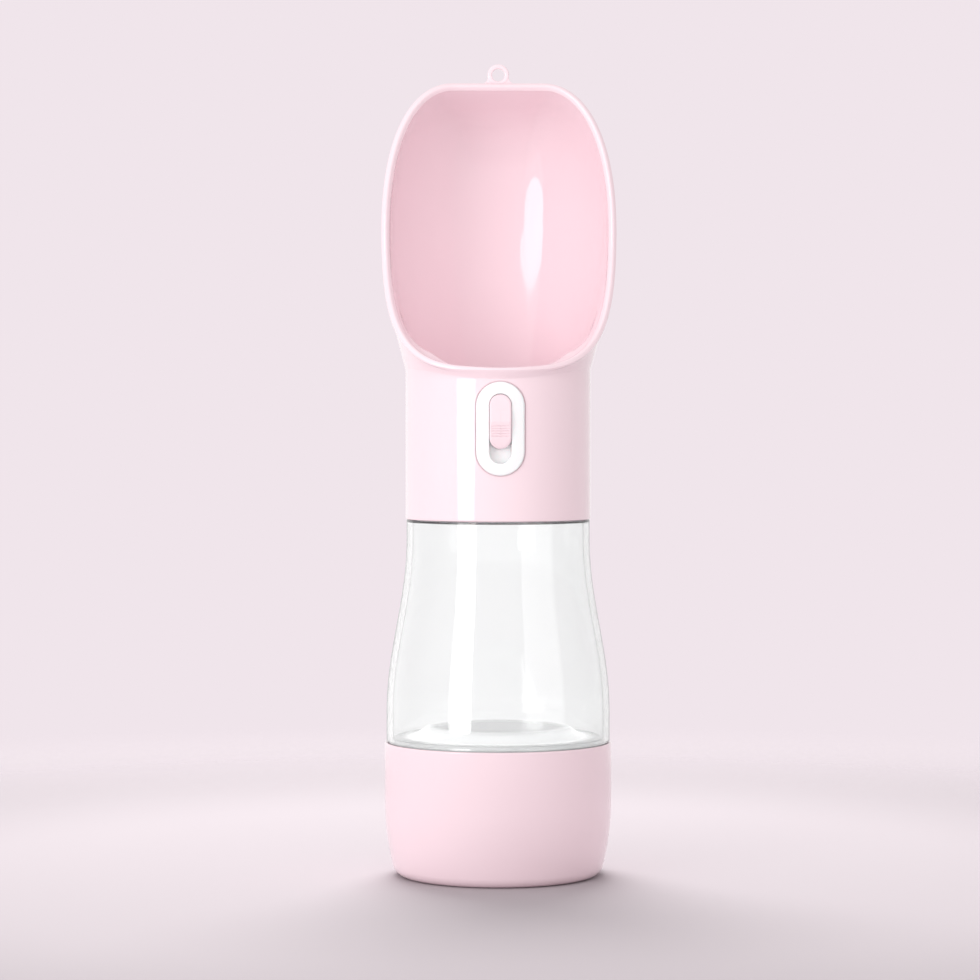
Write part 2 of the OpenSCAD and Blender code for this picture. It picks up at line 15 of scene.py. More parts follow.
import bmesh
import bpy
from mathutils import Euler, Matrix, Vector

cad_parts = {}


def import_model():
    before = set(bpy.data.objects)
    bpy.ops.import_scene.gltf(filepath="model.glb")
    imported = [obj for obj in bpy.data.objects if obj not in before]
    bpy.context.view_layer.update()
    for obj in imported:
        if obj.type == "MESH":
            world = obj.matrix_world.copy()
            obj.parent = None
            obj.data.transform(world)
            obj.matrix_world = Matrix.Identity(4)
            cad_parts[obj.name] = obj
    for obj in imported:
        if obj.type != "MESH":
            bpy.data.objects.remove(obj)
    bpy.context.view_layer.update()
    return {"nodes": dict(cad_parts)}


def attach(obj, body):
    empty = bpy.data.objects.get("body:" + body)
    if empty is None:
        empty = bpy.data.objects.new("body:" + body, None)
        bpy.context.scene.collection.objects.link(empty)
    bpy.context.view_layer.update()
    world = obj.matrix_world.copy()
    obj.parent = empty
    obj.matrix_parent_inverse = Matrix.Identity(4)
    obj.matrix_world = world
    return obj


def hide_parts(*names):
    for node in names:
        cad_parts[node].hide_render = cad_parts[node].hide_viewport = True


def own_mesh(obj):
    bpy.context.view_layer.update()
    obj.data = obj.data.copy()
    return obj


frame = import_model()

MM = 0.001
# Height of the middle of the bezel, and of the window and the bed that hold it.
BEZEL_Z = 141.9
CLEAR_PIECES = ("bottle_wall", "bottle_base_disc")
log = logging.getLogger("water_bottle")

Pair = tuple[float, float]
Spot = tuple[float, float, float]
Ring = list[Vector]
Tree = bpy.types.NodeTree
Socket = bpy.types.NodeSocket
Object = bpy.types.Object


# ---- colours and nodes ----


def linear(colour: str) -> tuple[float, float, float, float]:
    """Turns an sRGB colour "#rrggbb" into linear values with an alpha of one.

    Args:
        colour: The colour.

    Returns:
        Red, green, blue and an alpha of one.
    """
    values = []
    for start in (1, 3, 5):
        c = int(colour[start:start + 2], 16) / 255
        values.append(c / 12.92 if c <= 0.04045 else ((c + 0.055) / 1.055) ** 2.4)
    return values[0], values[1], values[2], 1.0


def add_node(tree: Tree, kind: str, inputs: Optional[dict] = None) -> bpy.types.Node:
    """Adds a node to a tree.

    Args:
        tree: The node tree.
        kind: The node's type name without its "ShaderNode" prefix.
        inputs: What to give a setting or an input socket, by its name or number:
            a value, an output socket, or a node for its first output.

    Returns:
        The new node.
    """
    node = tree.nodes.new("ShaderNode" + kind)
    for name, value in (inputs or {}).items():
        source = value.outputs[0] if isinstance(value, bpy.types.Node) else value
        if isinstance(source, Socket):
            tree.links.new(source, node.inputs[name])
        elif isinstance(name, str) and hasattr(node, name):
            setattr(node, name, value)
        else:
            node.inputs[name].default_value = value
    return node


def per_metre(size_mm: float) -> float:
    """Gives the texture scale at which a pattern repeats every size_mm."""
    return 1.0 / (size_mm * MM)


# ---- finishes ----


@dataclass(frozen=True)
class Surface:
    """What every finish has.

    Attributes:
        name: Material and process.
        slot: The record's material slot.
        colour: Main colour.
    """

    name: str
    slot: str
    colour: str
    view_alpha: ClassVar[float] = 1.0

    def material(self) -> bpy.types.Material:
        """Builds the material, or returns it if it is there already.

        Returns:
            The material.
        """
        ready = bpy.data.materials.get(self.name)
        if ready is not None:
            return ready
        material = bpy.data.materials.new(self.name)
        material.use_nodes = True
        material.diffuse_color = linear(self.colour)[:3] + (self.view_alpha,)
        tree = material.node_tree
        tree.nodes.clear()
        where = add_node(tree, "TexCoord").outputs["Object"]
        add_node(tree, "OutputMaterial", {"Surface": self.shade(tree, where)})
        return material

    def shade(self, tree: Tree, where: Socket) -> bpy.types.Node:
        """Adds the finish's nodes, fed by the place on the piece, and gives the last."""
        raise NotImplementedError


@dataclass(frozen=True)
class MouldedPlastic(Surface):
    """An opaque plastic or rubber shot into a polished or satin mould.

    Attributes:
        flow_colour: Colour where the melt flowed last, a shade away.
        roughness: Middle roughness of the skin.
        roughness_swing: How far the roughness wanders round the middle.
        ior: Index of refraction.
        flow_mm: Size of the colour's drift.
        grain_mm: Size of the skin's waviness.
        grain_depth: Depth of the waviness in millimetres.
        subsurface: Share of the light that wanders under the skin.
    """

    flow_colour: str
    roughness: float
    roughness_swing: float
    ior: float
    flow_mm: float
    grain_mm: float
    grain_depth: float
    subsurface: float = 0.0

    def shade(self, tree: Tree, where: Socket) -> bpy.types.Node:
        """Adds a drifting colour under a skin with a faint grain.

        Args:
            tree: The material's node tree.
            where: Socket that gives the place on the piece.

        Returns:
            The shader node.
        """
        flow = add_node(tree, "TexNoise", {
            "Scale": per_metre(self.flow_mm), "Detail": 2.0, "Roughness": 0.45,
            "Vector": where})
        drift = add_node(tree, "Mix", {
            "data_type": "RGBA", 0: flow, 6: linear(self.colour), 7: linear(self.flow_colour)})
        grain = add_node(tree, "TexNoise", {
            "Scale": per_metre(self.grain_mm), "Detail": 3.0, "Roughness": 0.5,
            "Vector": where})
        skin = add_node(tree, "MapRange", {
            "Value": grain, "From Min": 0.3, "From Max": 0.7,
            "To Min": self.roughness - self.roughness_swing,
            "To Max": self.roughness + self.roughness_swing})
        relief = add_node(tree, "Bump", {
            "Strength": 1.0, "Distance": self.grain_depth * MM, "Height": grain})
        return add_node(tree, "BsdfPrincipled", {
            "Base Color": drift.outputs[2], "Roughness": skin, "Normal": relief,
            "IOR": self.ior, "Subsurface Weight": self.subsurface,
            "Subsurface Radius": (1.0, 0.55, 0.6), "Subsurface Scale": 1.5 * MM})


@dataclass(frozen=True)
class ClearPlastic(Surface):
    """A clear copolyester, blown and polished, its colour the tint of what is behind.

    Attributes:
        transmission: Share of the light that passes, the rest is a faint haze.
        roughness: Roughness of the polished skin.
        ripple_mm: Size of the flow ripple in the wall.
        ripple_depth: Depth of the ripple in millimetres.
        glow: Strength of the painted glow, emission on the slope that stands in for light.
        slope: Radii between which the slope lies.
        edge: Share of painted grey shade in the thin line where a wall is seen edge on.
    """

    transmission: float
    roughness: float
    ripple_mm: float
    ripple_depth: float
    glow: float = 0.0
    slope: Pair = (0.0, 0.0)
    edge: float = 0.0
    view_alpha: ClassVar[float] = 0.35

    def shade(self, tree: Tree, where: Socket) -> bpy.types.Node:
        """Adds a rippled clear skin, with the slope's painted glow and the edge's painted grey
        shade.

        Args:
            tree: The material's node tree.
            where: Socket that gives the place on the piece.

        Returns:
            The shader node.
        """
        # The melt is drawn upwards, so the ripple is longer along the axis.
        drawn = add_node(tree, "Mapping", {"Scale": (1.0, 1.0, 0.35), "Vector": where})
        ripple = add_node(tree, "TexNoise", {
            "Scale": per_metre(self.ripple_mm), "Detail": 1.0, "Roughness": 0.4,
            "Vector": drawn})
        haze = add_node(tree, "MapRange", {
            "Value": ripple, "From Min": 0.35, "From Max": 0.65,
            "To Min": self.roughness, "To Max": self.roughness + 0.015})
        relief = add_node(tree, "Bump", {
            "Strength": 1.0, "Distance": self.ripple_depth * MM, "Height": ripple})
        clear = add_node(tree, "BsdfPrincipled", {
            "Base Color": linear(self.colour), "IOR": 1.52, "Roughness": haze,
            "Normal": relief, "Transmission Weight": self.transmission,
            "Emission Strength": self.glow})
        # Painted light: the slope glows by emission, though the base is no lamp.
        if self.glow > 0:
            tree.links.new(self.painted_slope_glow(tree, where), clear.inputs["Emission Color"])
        # The edge's grey line is painted shade.
        return self.painted_edge_shade(tree, clear) if self.edge > 0 else clear

    def painted_slope_glow(self, tree: Tree, where: Socket) -> Socket:
        """Adds a painted glow, emission that stands in for light: full on the slope, dimmer on
        the flange beyond it.

        Args:
            tree: The material's node tree.
            where: Socket that gives the place on the piece.

        Returns:
            Socket that gives the painted glow's colour.
        """
        flat = add_node(
            tree, "VectorMath", {"operation": "MULTIPLY", 0: where, 1: (1.0, 1.0, 0.0)})
        away = add_node(tree, "VectorMath", {"operation": "LENGTH", 0: flat})
        ramp = add_node(tree, "ValToRGB", {0: away.outputs["Value"]})
        first, last = (r * MM for r in self.slope)
        # Painted glow: none inside the slope, full across it, dimmer on the flange.
        dark, lit, dim = ((v, v, v, 1) for v in (0, 1, 0.14))
        spots = ramp.color_ramp.elements
        spots[0].position, spots[0].color = first - 0.2 * MM, dark
        spots[1].position, spots[1].color = first, lit
        spots.new(last).color = lit
        spots.new(last + 1.0 * MM).color = dim
        return ramp.outputs["Color"]

    def painted_edge_shade(self, tree: Tree, clear: bpy.types.Node) -> bpy.types.Node:
        """Adds a painted grey shade line where an upright wall is seen edge on, not on the
        shoulder or the neck's rim.

        Args:
            tree: The material's node tree.
            clear: The shader node of the clear wall.

        Returns:
            The shader node that mixes both.
        """
        # Painted shade: grey is mixed in where the wall is seen edge on.
        facing = add_node(tree, "LayerWeight", {"Blend": 0.5}).outputs["Facing"]
        line = add_node(tree, "MapRange", {
            "Value": facing, "From Min": 0.82, "From Max": 0.94,
            "To Min": 0.0, "To Max": self.edge})
        normal = add_node(tree, "NewGeometry").outputs["Normal"]
        up = add_node(tree, "SeparateXYZ", {0: normal}).outputs["Z"]
        tilt = add_node(tree, "Math", {"operation": "ABSOLUTE", 0: up})
        upright = add_node(tree, "Math", {"operation": "LESS_THAN", 0: tilt, 1: 0.5})
        share = add_node(tree, "Math", {"operation": "MULTIPLY", 0: line, 1: upright})
        grey = add_node(tree, "BsdfDiffuse", {"Color": linear("#a9adad")})
        return add_node(tree, "MixShader", {0: share, 1: clear, 2: grey})


@dataclass(frozen=True)
class DrawnSteel(Surface):
    """Stainless spring steel, drawn through a die and left bright.

    Attributes:
        roughness: Roughness of the drawn skin.
        line_mm: Spacing of the drawing lines.
    """

    roughness: float
    line_mm: float

    def shade(self, tree: Tree, where: Socket) -> bpy.types.Node:
        """Adds bright metal with fine drawing lines.

        Args:
            tree: The material's node tree.
            where: Socket that gives the place on the piece.

        Returns:
            The shader node.
        """
        lines = add_node(tree, "TexNoise", {
            "Scale": per_metre(self.line_mm), "Detail": 4.0, "Vector": where})
        skin = add_node(tree, "MapRange", {
            "Value": lines, "To Min": self.roughness - 0.06, "To Max": self.roughness + 0.12})
        relief = add_node(tree, "Bump", {
            "Strength": 0.4, "Distance": 0.01 * MM, "Height": lines})
        return add_node(tree, "BsdfPrincipled", {
            "Base Color": linear(self.colour), "Metallic": 1.0, "Roughness": skin,
            "Normal": relief})


@dataclass(frozen=True)
class Paper(Surface):
    """Matt paper for the floor, which fades into the backdrop.

    Attributes:
        solid_to: Metres from the middle up to which it is solid.
        gone_from: Metres from the middle beyond which nothing of it is left.
    """

    solid_to: float
    gone_from: float

    def shade(self, tree: Tree, where: Socket) -> bpy.types.Node:
        """Adds a matt skin that grows clear with the distance from the middle.

        Args:
            tree: The material's node tree.
            where: Socket that gives the place on the piece.

        Returns:
            The shader node.
        """
        away = add_node(tree, "VectorMath", {"operation": "LENGTH", 0: where})
        fade = add_node(tree, "MapRange", {
            "interpolation_type": "SMOOTHSTEP", "Value": away.outputs["Value"],
            "From Min": self.solid_to, "From Max": self.gone_from,
            "To Min": 1.0, "To Max": 0.0})
        return add_node(tree, "BsdfPrincipled", {
            "Base Color": linear(self.colour), "Roughness": 0.9,
            "Specular IOR Level": 0.1, "Alpha": fade})


class Finish(Enum):
    """The finishes of the bottle's parts and of the floor."""

    # Gloss ABS from a polished mould: a clean soft mirror over a pastel body.
    PINK_ABS = MouldedPlastic(
        "ABS pink, gloss moulded", "pink_abs", "#f9e2e8", "#f8dfe6",
        0.045, 0.01, 1.54, 45.0, 1.6, 0.0005)
    # The bezel's ABS has a slightly softer gloss, and reads as clean white.
    WHITE_ABS = MouldedPlastic(
        "ABS white, gloss moulded", "white_abs", "#fefefe", "#fbfbfc",
        0.22, 0.03, 1.54, 30.0, 1.6, 0.0015, subsurface=0.35)
    # Acetal for the moving valve parts: waxy white with a satin skin.
    ACETAL = MouldedPlastic(
        "Acetal natural, satin moulded", "white_abs", "#f1f1ee", "#ebebe8",
        0.38, 0.05, 1.48, 12.0, 0.8, 0.003)
    # Soft seals: matt and milky.
    SILICONE = MouldedPlastic(
        "Silicone rubber, compression moulded", "silicone", "#e9ebeb", "#e0e3e4",
        0.55, 0.06, 1.43, 8.0, 0.6, 0.004)
    # The bottle's wall: water-clear, with the faint ripple of a blown wall and a painted grey
    # shade line where it is seen edge on.
    CLEAR_WALL = ClearPlastic(
        "Copolyester clear, blow moulded", "clear_bottle", "#fbfcfc",
        0.97, 0.0, 26.0, 0.01, edge=0.6)
    # The welded-in base is thicker and milky, and its slope carries a painted glow, emission
    # that stands in for light.
    CLEAR_BASE = ClearPlastic(
        "Copolyester clear, injection moulded", "clear_bottle", "#e4e5e5",
        0.25, 0.06, 9.0, 0.02, glow=0.42, slope=(22.9, 27.4))
    # Springs, washer and pin: a bright narrow glint along the wire.
    STEEL = DrawnSteel("Stainless steel, drawn bright", "steel", "#c9ccd0", 0.24, 0.4)
    # The floor takes a soft shadow and shows no gloss.
    PAPER = Paper("Paper floor, matt", "", "#b7afb3", 0.16, 0.5)


# ---- meshes ----


@dataclass(frozen=True)
class Thread:
    """A screw thread on a turned wall.

    Attributes:
        wall_r: Radius of the wall that carries it.
        low: Height at which it starts.
        high: Height at which it ends.
        height: How far it stands out of the wall, negative for an inner thread.
        pitch: Rise in one turn.
        phase: Shift along the axis.
        root_w: Width at the wall.
        crest_w: Width at the crest.
        run_out: Length over which each end fades.
    """

    wall_r: float
    low: float
    high: float
    height: float
    pitch: float = 4.0
    phase: float = 0.0
    root_w: float = 1.7
    crest_w: float = 0.8
    run_out: float = 0.9

    def on(self, r: float) -> bool:
        """Says whether radius r is the threaded wall."""
        return abs(r - self.wall_r) < 1e-6

    def lift(self, angle: float, z: float) -> float:
        """Gives the height of the thread over the wall.

        Args:
            angle: Angle round the axis in radians.
            z: Height in millimetres.

        Returns:
            The change of radius in millimetres.
        """
        turn = (z - self.phase) / self.pitch - angle / (2 * math.pi)
        away = abs(turn - round(turn)) * self.pitch
        flank = (self.root_w - self.crest_w) / 2
        shape = min(1.0, max(0.0, (self.root_w / 2 - away) / flank))
        ends = min((z - self.low) / self.run_out, (self.high - z) / self.run_out, 1.0)
        return self.height * shape * max(0.0, ends)


def arc(centre: Pair, radius: float, start: float, end: float, steps: int) -> list[Pair]:
    """Gives points on an arc in a plane.

    Args:
        centre: Centre of the arc.
        radius: Its radius.
        start: First angle in degrees.
        end: Last angle in degrees.
        steps: Number of steps between them.

    Returns:
        The points, ends included.
    """
    angles = [math.radians(start + (end - start) * k / steps) for k in range(steps + 1)]
    x, y = centre
    return [(x + radius * math.cos(a), y + radius * math.sin(a)) for a in angles]


def near(x: float, y: float, *offsets: Pair) -> list[Pair]:
    """Gives the points that lie at some offsets from a place."""
    return [(x + dx, y + dy) for dx, dy in offsets]


def around(r: float, angle: float, z: float, centre: Pair = (0.0, 0.0)) -> Vector:
    """Gives the point at a radius and an angle round a vertical axis."""
    return Vector((centre[0] + r * math.cos(angle), centre[1] + r * math.sin(angle), z))


def flat_ring(outline: Sequence[Pair], y: float) -> Ring:
    """Lays an outline of x and z in the plane at y."""
    return [Vector((x, y, z)) for x, z in outline]


def bent_ring(outline: Sequence[Pair], r: float) -> Ring:
    """Lays an outline of x and z on the front of a cylinder of radius r."""
    return [Vector((x, -math.sqrt(r * r - x * x), z)) for x, z in outline]


def soften(corners: Sequence[Spot], steps: int = 5) -> list[Pair]:
    """Rounds the corners of a closed outline.

    Args:
        corners: Corners as x, y and the radius of the round.
        steps: Steps in each round.

    Returns:
        The outline's points.
    """
    points: list[Pair] = []
    count = len(corners)
    for k, (x, y, radius) in enumerate(corners):
        here = Vector((x, y))
        back = Vector(corners[k - 1][:2]) - here
        ahead = Vector(corners[(k + 1) % count][:2]) - here
        if radius <= 0:
            points.append((x, y))
            continue
        half = back.angle(ahead) / 2
        reach = min(radius / math.tan(half), 0.49 * back.length, 0.49 * ahead.length)
        start = here + back.normalized() * reach
        end = here + ahead.normalized() * reach
        for s in range(steps + 1):
            t = s / steps
            at = start * (1 - t) ** 2 + here * (2 * t * (1 - t)) + end * t * t
            points.append((at.x, at.y))
    return points


def boxed(across: Pair, up: Pair, rounds: Sequence[float], steps: int = 5) -> list[Pair]:
    """Gives a rectangle's outline, its rounds listed from the first corner on."""
    corners = [(across[0], up[0]), (across[1], up[0]), (across[1], up[1]), (across[0], up[1])]
    return soften([(*corner, radius) for corner, radius in zip(corners, rounds)], steps)


class Solid:
    """A closed mesh in the making, in millimetres."""

    def __init__(self) -> None:
        """Starts with no points and no faces."""
        self.points: list[Vector] = []
        self.faces: list[tuple[int, ...]] = []

    def add_rings(self, rings: Sequence[Ring], looped: bool = False) -> "Solid":
        """Adds the skin through closed rings of equal length.

        Args:
            rings: The rings.
            looped: Joins the last ring to the first, instead of closing both ends.

        Returns:
            The solid itself.
        """
        start = len(self.points)
        n = len(rings[0])
        for ring in rings:
            self.points.extend(ring)
        last = len(rings) if looped else len(rings) - 1
        for k in range(last):
            a0 = start + k * n
            b0 = start + (k + 1) % len(rings) * n
            for i in range(n):
                j = (i + 1) % n
                self.faces.append((a0 + i, a0 + j, b0 + j, b0 + i))
        if not looped:
            top = start + (len(rings) - 1) * n
            self.faces.append(tuple(range(start + n - 1, start - 1, -1)))
            self.faces.append(tuple(range(top, top + n)))
        return self

    def add_prism(self, outline: Sequence[Pair], low: float, high: float) -> "Solid":
        """Adds an outline of x and z, pushed along Y from low to high."""
        return self.add_rings([flat_ring(outline, low), flat_ring(outline, high)])

    def add_block(self, low: Sequence[float], high: Sequence[float]) -> "Solid":
        """Adds a block between two corners."""
        outline = [(low[0], low[2]), (high[0], low[2]), (high[0], high[2]), (low[0], high[2])]
        return self.add_prism(outline, low[1], high[1])

    def to_piece(self, name: str, finish: Finish, body: str, *nodes: str) -> Object:
        """Makes the Blender object and gives it its body, nodes and slot."""
        return place(self.to_object(name, finish), finish, body, *nodes)

    def to_object(self, name: str, finish: Finish, sharp: float = 34.0) -> Object:
        """Makes the Blender object.

        Args:
            name: Name of the piece.
            finish: Its finish.
            sharp: Angle in degrees above which an edge stays sharp.

        Returns:
            The object.
        """
        mesh = bpy.data.meshes.new(name)
        mesh.from_pydata([tuple(p * MM) for p in self.points], [], self.faces)
        work = bmesh.new()
        work.from_mesh(mesh)
        bmesh.ops.remove_doubles(work, verts=work.verts, dist=0.0005 * MM)
        bmesh.ops.recalc_face_normals(work, faces=work.faces)
        work.to_mesh(mesh)
        work.free()
        obj = bpy.data.objects.new(name, mesh)
        bpy.context.scene.collection.objects.link(obj)
        obj.data.materials.append(finish.value.material())
        smooth(obj, sharp)
        return obj


def smooth(obj: Object, sharp: float) -> None:
    """Shades an object smoothly and keeps edges above an angle sharp."""
    obj.data.shade_smooth()
    obj.data.set_sharp_from_angle(angle=math.radians(sharp))


def settle(obj: Object, sharp: float = 34.0) -> None:
    """Applies an object's modifiers to its mesh and shades it again.

    Args:
        obj: The object.
        sharp: Angle in degrees above which an edge stays sharp.
    """
    graph = bpy.context.evaluated_depsgraph_get()
    mesh = bpy.data.meshes.new_from_object(obj.evaluated_get(graph))
    old = obj.data
    obj.modifiers.clear()
    obj.data = mesh
    mesh.name = old.name
    bpy.data.meshes.remove(old)
    smooth(obj, sharp)


def ease_edges(obj: Object, width: float, segments: int = 3) -> None:
    """Rounds an object's sharp edges.

    Args:
        obj: The object.
        width: Width of the round in millimetres.
        segments: Steps in the round.
    """
    bevel = obj.modifiers.new("eased edges", "BEVEL")
    bevel.width = width * MM
    bevel.segments = segments
    bevel.limit_method = "ANGLE"
    bevel.angle_limit = math.radians(34)
    bevel.use_clamp_overlap = True
    settle(obj)


def cut(obj: Object, cutters: Sequence[Object]) -> None:
    """Cuts other objects out of an object and removes them.

    Args:
        obj: The object.
        cutters: The objects to cut out, in order.
    """
    for cutter in cutters:
        knife = obj.modifiers.new("cut", "BOOLEAN")
        knife.operation = "DIFFERENCE"
        knife.solver = "EXACT"
        knife.object = cutter
    settle(obj)
    for cutter in cutters:
        mesh = cutter.data
        bpy.data.objects.remove(cutter)
        bpy.data.meshes.remove(mesh)


def turned(
    outline: Sequence[Pair],
    thread: Optional[Thread] = None,
    turns: int = 192,
    centre: Pair = (0.0, 0.0),
) -> list[Ring]:
    """Turns an outline round a vertical axis.

    Args:
        outline: Points as radius and height.
        thread: A thread on one of its walls.
        turns: Points round the axis.
        centre: Place of the axis as x and y.

    Returns:
        One ring for each point, more along a threaded wall.
    """
    profile = list(outline)
    if thread is not None:
        fine: list[Pair] = []
        for k, (r, z) in enumerate(profile):
            fine.append((r, z))
            r2, z2 = profile[(k + 1) % len(profile)]
            if thread.on(r) and thread.on(r2):
                steps = max(1, round(abs(z2 - z) / 0.2))
                fine += [(r, z + (z2 - z) * s / steps) for s in range(1, steps)]
        profile = fine
    rings = []
    for r, z in profile:
        cutting = thread is not None and thread.on(r)
        ring = []
        for i in range(turns):
            a = 2 * math.pi * i / turns
            ring.append(around(r + (thread.lift(a, z) if cutting else 0.0), a, z, centre))
        rings.append(ring)
    return rings


def stadium(
    width: float, length: float, z: float, sides: int = 24, rungs: int = 28
) -> list[Pair]:
    """Gives the outline of a slot with round ends, upright in the XZ plane.

    Args:
        width: Its width.
        length: Its length.
        z: Height of its middle.
        sides: Steps in each round end.
        rungs: Steps on each straight side.

    Returns:
        Points as x and z.
    """
    half = (length - width) / 2
    right = [(width / 2, z - half + 2 * half * k / rungs) for k in range(1, rungs)]
    left = [(-x, 2 * z - h) for x, h in right]
    return (
        arc((0, z - half), width / 2, 180, 360, sides) + right
        + arc((0, z + half), width / 2, 0, 180, sides) + left)


def coil(height: float, coil_r: float, wire_r: float = 0.25, turns: int = 5) -> list[Ring]:
    """Gives the rings of a spring that rises evenly from z = 0.

    Args:
        height: Height of the spring, wire included.
        coil_r: Radius to the middle of the wire.
        wire_r: Radius of the wire.
        turns: Number of turns.

    Returns:
        The rings along the wire.
    """
    steps = turns * 40
    rings = []
    for k in range(steps + 1):
        a = 2 * math.pi * turns * k / steps
        z = wire_r + (height - 2 * wire_r) * k / steps
        rings.append([
            around(coil_r + wire_r * math.cos(b), a, z + wire_r * math.sin(b))
            for b in [-2 * math.pi * s / 10 for s in range(10)]])
    return rings


def place(obj: Object, finish: Finish, body: str, *nodes: str) -> Object:
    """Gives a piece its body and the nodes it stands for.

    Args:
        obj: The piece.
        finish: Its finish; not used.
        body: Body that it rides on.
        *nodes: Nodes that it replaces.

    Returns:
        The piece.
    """
    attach(obj, body)
    if nodes:
        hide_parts(*nodes)
    log.info("%s rides on %s, %d points", obj.name, body, len(obj.data.vertices))
    return obj


def turn_piece(
    name: str, finish: Finish, body: str, node: str, section: Sequence[Pair],
    thread: Optional[Thread] = None, looped: bool = True,
) -> None:
    """Turns a section into a piece that rides on a body and replaces a node."""
    Solid().add_rings(turned(section, thread), looped).to_piece(name, finish, body, node)


# ---- food cup ----


@dataclass
class FoodCup:
    """The food cup below the bottle, with the seal on its ledge."""

    radius: float = 36.0
    height: float = 42.5
    wall: float = 2.4
    taper: float = 2.4
    taper_z: float = 24.0
    heel: float = 4.0
    heel_blend: float = 76.0
    floor_z: float = 2.4
    floor_round: float = 6.0
    ledge_r: float = 34.8
    ledge_z: float = 40.4
    seal_r: Pair = (32.25, 34.6)
    seal_top: float = 42.8
    finish: Finish = Finish.PINK_ABS

    def side(self, z: float) -> float:
        """Gives the outer radius at height z."""
        return self.radius - self.taper * (max(0.0, self.taper_z - z) / 20) ** 2

    def outline(self) -> list[Pair]:
        """Gives the cup's section, from under the foot round to the floor.

        Returns:
            Points as radius and height.
        """
        inner_r = self.radius - self.wall
        blend = math.radians(self.heel_blend)
        heel_r = self.side(self.heel * (1 - math.cos(blend))) - self.heel * math.sin(blend)
        points = [(20.0, 0.0), (25.3, 0.0), (25.7, 0.3), (25.8, 0.6)]
        points += [(27.2, 0.6), (27.3, 0.3), (27.7, 0.0)]
        points += arc((heel_r, self.heel), self.heel, -90, self.heel_blend - 90, 12)
        points += [(self.side(z), float(z)) for z in range(4, int(self.taper_z) + 1)]
        points += [(self.radius, z) for z in (28.0, 32.0, 36.0, 39.0, 41.0, 41.6, 41.9)]
        points += [(self.radius, self.height - 0.4)]
        points += arc((self.radius - 0.4, self.height - 0.4), 0.4, 0, 90, 5)[1:]
        points += near(self.ledge_r, self.height, (0.2, 0.0), (0.0, -0.2))
        points += [(self.ledge_r, self.ledge_z)]
        points += near(inner_r, self.ledge_z, (0.2, 0.0), (0.0, -0.2))
        points += [(inner_r, self.taper_z)]
        points += [(self.side(z) - self.wall, float(z)) for z in range(22, 8, -2)]
        floor_r = self.side(8) - self.wall - self.floor_round
        points += arc(
            (floor_r, self.floor_z + self.floor_round), self.floor_round, 0, -90, 12)
        return points + [(12.0, self.floor_z)]

    def build(self) -> None:
        """Makes the cup and its seal."""
        thread = Thread(self.radius - self.wall, 31.0, 40.0, -0.85, phase=2.0)
        turn_piece(
            "food_cup_shell", self.finish, "cup", "food_cup", self.outline(), thread, False)
        section = boxed(self.seal_r, (self.ledge_z, self.seal_top), (0.3, 0.3, 0.6, 0.6))
        turn_piece("cup_seal_ring", Finish.SILICONE, "cup_ring", "cup_seal", section)


# ---- bottle ----


